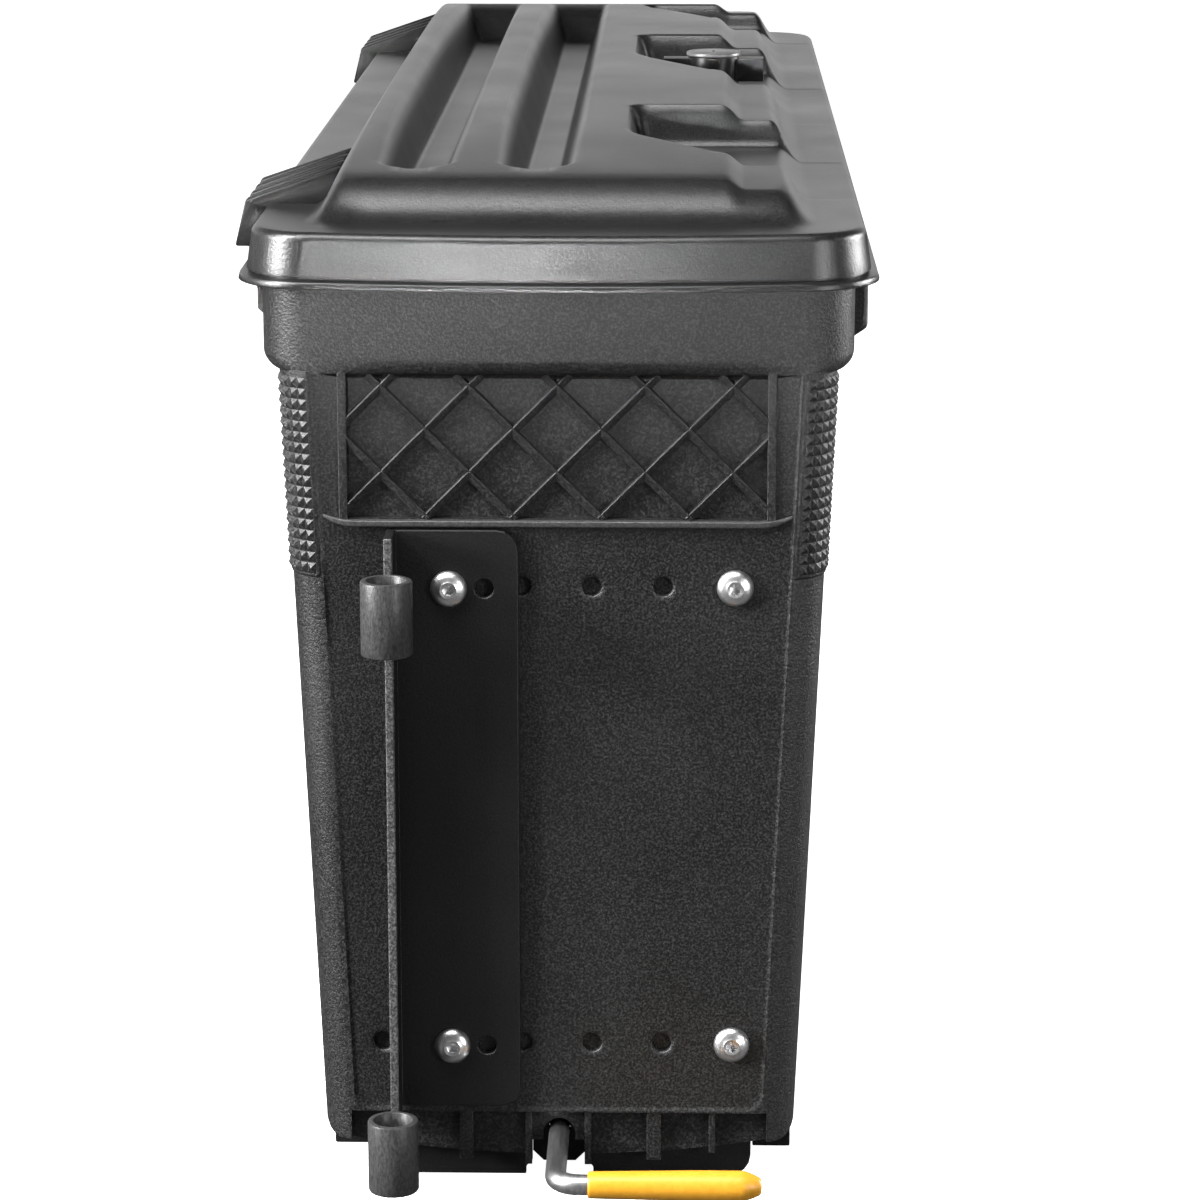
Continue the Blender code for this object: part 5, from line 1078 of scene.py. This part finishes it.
softCopy("hinge_bracket", "hingeBracket", "case", makeBracketEdgeHighlight(), bracketSize["soft"])


def makeBarrel(low, name, node):
    b = bracketSize
    r, bore, high = b["barrelRadius"], b["bore"], low + b["barrelLength"]
    profile = [(bore + 0.5, low), (r - 0.9, low), (r - 0.3, low + 0.25), (r, low + 0.9), (r, high - 0.9),
               (r - 0.3, high - 0.25), (r - 0.9, high), (bore + 0.5, high), (bore, high - 0.6),
               (bore, low + 0.6)]
    mesh = lathe(name, profile, "Z", (b["barrelX"], b["barrelY"]), 72, closedLoop=True)
    return finishPiece(name, mesh, 40, "case", barrelBlack, (node,))


makeBarrel(bracketSize["lowerZ"], "lowerBarrel", "lower_hinge_barrel")
makeBarrel(bracketSize["upperZ"], "upperBarrel", "upper_hinge_barrel")


def makePanelScrews():
    b, e = bracketSize, endSize
    r, h = b["headRadius"], b["headRise"]
    profile = [(3.8, -14), (3.8, 0), (r - 0.25, 0), (r, 0.25), (r, 0.7)]
    profile += [(r * math.cos(t) ** 0.8, 0.8 + (h - 0.8) * math.sin(t))
                for t in np.radians([15, 30, 45, 55, 63])]
    profile += [(b["socket"] * 1.35, h - 0.03), (b["socket"] * 1.2, h - 0.12)]
    rings = latheRings(profile, "Z", (0, 0), 48)
    for z, scale in ((h - 0.35, 1.0), (h - b["socketDepth"], 0.98), (h - b["socketDepth"] - 0.7, 0.3)):
        ring = []
        for i in range(48):
            turn = 2 * math.pi * i / 48
            sector = (turn + math.pi / 6) % (math.pi / 3) - math.pi / 6
            flat = b["socket"] * math.cos(math.pi / 6) / math.cos(sector) * scale
            ring.append((flat * math.cos(turn), flat * math.sin(turn), z))
        rings.append(ring)
    screw = loftMesh("screw", rings)
    tidyMesh(screw)
    places = []
    for number, column in enumerate(e["screwColumns"]):
        x = e["holeColumns"][column]
        depth = b["seatOnPlate"] if number == 0 else b["seatOnPanel"]
        for row, z in enumerate(e["holeRows"]):
            places.append(((x, depth, z), facing((0, -1, 0), 0.4 + 0.7 * number + 1.1 * row)))
    screws = takeMeshes([scatter("panelScrews", places, screw, zincBright)])[0]
    nodes = [f"panel_screw_{i}" for i in range(1, 5)]
    return finishPiece("panelScrews", screws, 35, "case", zincBright, nodes)


makePanelScrews()


rivetSize = {"head": 4.6, "rise": 2.0, "shank": 2.4, "hingeX": -143.3, "hingeZ": 411.5, "hingeGrip": 13.4,
             "hingeSpread": 21.0, "keeperX": 134.0, "keeperZ": 426.7, "keeperGrip": 7.4,
             "keeperY": (444.2, 475.8)}


def makeRivets(name, places, grip, nodes):
    v = rivetSize
    dome = [(v["head"] * math.cos(t), v["rise"] * math.sin(t)) for t in np.radians([0, 18, 36, 54, 72, 88])]
    profile = [(r, -grip - h) for r, h in dome[::-1]] + [(v["shank"], -grip), (v["shank"], 0)] + dome
    rivet = loftMesh("rivet", latheRings(profile, "Z", (0, 0), 32))
    tidyMesh(rivet)
    rivets = takeMeshes([scatter(name, places, rivet, zincBright)])[0]
    return finishPiece(name, rivets, 40, "case", zincBright, nodes)


hingeRivetY = [y + side * rivetSize["hingeSpread"] for y in lidSize["hinges"] for side in (-1, 1)]
makeRivets("hingeRivets", [((rivetSize["hingeX"], y, rivetSize["hingeZ"]), facing((-1, 0, 0)))
                           for y in hingeRivetY],
           rivetSize["hingeGrip"], [f"hinge_rivet_{i}" for i in range(1, 5)])
makeRivets("keeperRivets", [((rivetSize["keeperX"], y, rivetSize["keeperZ"]), facing((1, 0, 0)))
                            for y in rivetSize["keeperY"]],
           rivetSize["keeperGrip"], ["keeper_rivet_1", "keeper_rivet_2"])
print("bracket and screws ready")


# Release rod and its grip.

def makeGrip():
    g = rodSize
    start, end, r, tip, thin = g["gripStart"], g["gripEnd"], g["gripRadius"], g["gripTip"], g["gripThin"]
    profile = [(4.9, start + 0.6), (5.2, start), (r * 0.8, start), (r * (thin - 0.02), start + 0.5),
               (r * thin, start + 1.5)]
    for t in np.linspace(0.1, 1, 12):
        swell = thin + (1 - thin) * min(1.0, 1.4 * t)
        profile.append((r * swell, start + 1.5 + (end - tip - start - 1.5) * t))
    profile += [(r * share, end - tip * left) for share, left in
                ((0.985, 0.86), (0.95, 0.72), (0.8, 0.43), (0.62, 0.15), (0.53, 0.06), (0.4, 0.015),
                 (0.003, 0.0))]
    mesh = lathe("releaseGrip", profile, "X", (g["reach"], g["z"]), 56)
    return finishPiece("releaseGrip", mesh, 50, "release", gripYellow, ("release_grip",))


def makeRod():
    g = rodSize
    path = [(g["gripEnd"] - 9, g["reach"]), (40, g["reach"])]
    path += arcPoints((g["bend"], g["reach"] + g["bend"]), g["bend"], 270, 180, 18)
    rodEnd = (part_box("release_rod")[1][1] - homeY) / mm
    path += [(0, -30), (0, 0), (0, 60), (0, 250), (0, rodEnd - 0.5), (0, rodEnd)]
    rings = []
    for i, (x, y) in enumerate(path):
        ahead, behind = path[min(i + 1, len(path) - 1)], path[max(i - 1, 0)]
        way = Vector((ahead[0] - behind[0], ahead[1] - behind[1])).normalized()
        r = g["radius"] - (0.5 if i == len(path) - 1 else 0)
        rings.append([(x - way.y * r * math.cos(t), y + way.x * r * math.cos(t), g["z"] + r * math.sin(t))
                      for t in np.linspace(0, 2 * math.pi, 41)[:-1]])
    mesh = loftMesh("releaseRod", rings)
    tidyMesh(mesh)
    return finishPiece("releaseRod", mesh, 40, "release", rodSteel, ("release_rod",))


makeGrip()
makeRod()
print("release rod ready")

# Softened copies of the plain metal and moulded parts.

softCopy("latch_handle", "latchHandle", "latch", latchBlack, 2.0, 4, 32)
for nodeName, pieceName in (("front_hinge_base", "frontHingeBase"), ("rear_hinge_base", "rearHingeBase")):
    softCopy(nodeName, pieceName, "case", lidBlack, 0.8)
for nodeName, pieceName in (("front_cross_member", "frontCrossMember"),
                            ("rear_cross_member", "rearCrossMember"),
                            ("skid_rail_left", "skidRailLeft"), ("skid_rail_right", "skidRailRight")):
    softCopy(nodeName, pieceName, "case", bracketBlack, 0.7)

latchSize = {"x": 72.0, "y": 460.0, "capRadius": 15.0, "capZ": 479.9, "capThick": 2.2, "slotHalf": (0.6, 3.4)}


def makeLockCap():
    k = latchSize
    r, z, t = k["capRadius"], k["capZ"], k["capThick"]
    profile = [(6.0, z - 6.3), (6.0, z), (r - 0.4, z), (r, z + 0.4), (r, z + t - 0.9), (r - 0.3, z + t - 0.3),
               (r - 0.9, z + t - 0.02), (r - 2.6, z + t), (r - 3.0, z + t - 0.25), (r - 3.4, z + t - 0.25),
               (r - 3.8, z + t - 0.02), (2.2, z + t), (0.02, z + t)]
    mesh = lathe("lockCap", profile, "Z", (k["x"], k["y"]), 64)
    wide, long = k["slotHalf"]
    slot = blockMesh("keySlot", (k["x"] - wide, k["y"] - long, z + t - 0.9),
                     (k["x"] + wide, k["y"] + long, z + t + 2))
    cap = takeMeshes([cutAway(addObject("lockCap", mesh), [slot])])[0]
    return finishPiece("lockCap", cap, 30, "lock", capGrey, ("lock_cylinder",))


makeLockCap()

# The CAD nodes that stay get the finish of their slot.
finishOf = {"moulded_black": latchBlack, "powder_black": bracketBlack, "bright_zinc": zincBright,
            "bare_steel": rodSteel, "yellow_vinyl": gripYellow, "seal_rubber": sealRubber,
            "pale_cap": capGrey}
slotOf = {part["node"]: part["material_slot"] for part in frame["record"]["subparts"]}
for nodeName, item in frame["nodes"].items():
    finish = finishOf.get(slotOf.get(nodeName), zincBright)
    for place in item.material_slots:
        place.material = finish
    if not item.material_slots:
        item.data.materials.append(finish)
print("carried parts finished")

# Floor, light and camera.

floorPlan = {"seen": 0.9, "lift": 1.0, "bounce": 0.06}


def makeFloor():
    material = bpy.data.materials.new("paleFloor")
    material.use_nodes = True
    tree = material.node_tree
    tree.nodes.clear()
    link = tree.links.new
    path = tree.nodes.new("ShaderNodeLightPath")
    pale = nodeAt(tree, "ShaderNodeBsdfDiffuse", Color=(*grey(floorPlan["seen"]), 1))
    lift = nodeAt(tree, "ShaderNodeEmission", Strength=floorPlan["lift"])
    seen = tree.nodes.new("ShaderNodeAddShader")
    dull = nodeAt(tree, "ShaderNodeBsdfDiffuse", Color=(*grey(floorPlan["bounce"]), 1))
    both = tree.nodes.new("ShaderNodeMixShader")
    out = tree.nodes.new("ShaderNodeOutputMaterial")
    link(pale.outputs[0], seen.inputs[0])
    link(lift.outputs[0], seen.inputs[1])
    link(path.outputs["Is Camera Ray"], both.inputs[0])
    link(dull.outputs[0], both.inputs[1])
    link(seen.outputs[0], both.inputs[2])
    link(both.outputs[0], out.inputs["Surface"])
    corners = [(-9, -9, -0.0005), (9, -9, -0.0005), (9, 9, -0.0005), (-9, 9, -0.0005)]
    mesh = meshFrom("studioFloor", corners, [(0, 1, 2, 3)])
    mesh.materials.append(material)
    addObject("studioFloor", mesh)


makeFloor()

worldPlan = {"front": 0.12, "back": 0.95, "overhead": 0.03, "right": 0.35}


def makeWorld():
    world = bpy.data.worlds.new("studio")
    bpy.context.scene.world = world
    world.use_nodes = True
    tree = world.node_tree
    link = tree.links.new
    place = tree.nodes.new("ShaderNodeTexCoord")
    split = tree.nodes.new("ShaderNodeSeparateXYZ")
    link(place.outputs["Generated"], split.inputs[0])

    strength = None
    for axis, low, high, start, end in (("X", 0.1, 0.8, 1.0, worldPlan["right"]),
                                        ("Z", 0.28, 0.5, 1.0, worldPlan["overhead"]),
                                        ("Y", -0.2, 0.5, worldPlan["front"], worldPlan["back"])):
        fade = mapRange(tree, split.outputs[axis], low, high, start, end, smooth=True)
        if strength:
            both = nodeAt(tree, "ShaderNodeMath", operation="MULTIPLY")
            link(strength, both.inputs[0])
            link(fade, both.inputs[1])
            fade = both.outputs[0]
        strength = fade
    tree.nodes["Background"].inputs["Color"].default_value = (1, 1, 1, 1)
    link(strength, tree.nodes["Background"].inputs["Strength"])


makeWorld()

# place, aim, width, height, beam in degrees, power
lampPlan = {
    "key": ((-1.5, -1.05, 1.75), (0, -0.42, 0.3), 0.7, 0.7, 120, 38),
    "left": ((-2.6, -1.3, 1.0), (0, -0.42, 0.3), 0.6, 0.6, 120, 80),
    "front": ((-0.45, -3.4, 0.62), (0, -0.42, 0.475), 2.0, 0.1, 5, 1.25),
    "top": ((-0.3, -1.1, 2.3), (0, -0.3, 0.45), 1.3, 0.8, 120, 23),
    "right": ((1.8, -2.2, 0.6), (0, -0.4, 0.3), 0.4, 1.0, 120, 12),
    "side": ((2.6, 0.7, 0.8), (0.1, 0, 0.2), 1.2, 0.8, 120, 45),
}
for lampName, (place, aim, width, height, beam, power) in lampPlan.items():
    lamp = bpy.data.lights.new(lampName, "AREA")
    lamp.shape, lamp.size, lamp.size_y, lamp.energy = "RECTANGLE", width, height, power
    lamp.spread = math.radians(beam)
    holder = bpy.data.objects.new(lampName, lamp)
    holder.location = place
    holder.rotation_euler = (Vector(aim) - Vector(place)).to_track_quat("-Z", "Y").to_euler()
    bpy.context.scene.collection.objects.link(holder)
bpy.context.scene.view_settings.view_transform = "Standard"

cameraPlan = {"place": (57.7, -1759.0, 713.9), "turn": (76.22, 0.0, 1.252), "lens": 120.0}
camera = bpy.data.cameras.new("camera")
camera.lens, camera.sensor_width = cameraPlan["lens"], 36.0
camera.clip_start, camera.clip_end = 0.05, 50
cameraHolder = bpy.data.objects.new("camera", camera)
cameraHolder.location = [home + value * mm for home, value in zip((homeX, homeY, 0), cameraPlan["place"])]
cameraHolder.rotation_euler = [math.radians(a) for a in cameraPlan["turn"]]
bpy.context.scene.collection.objects.link(cameraHolder)
bpy.context.scene.camera = cameraHolder

print("scene done")
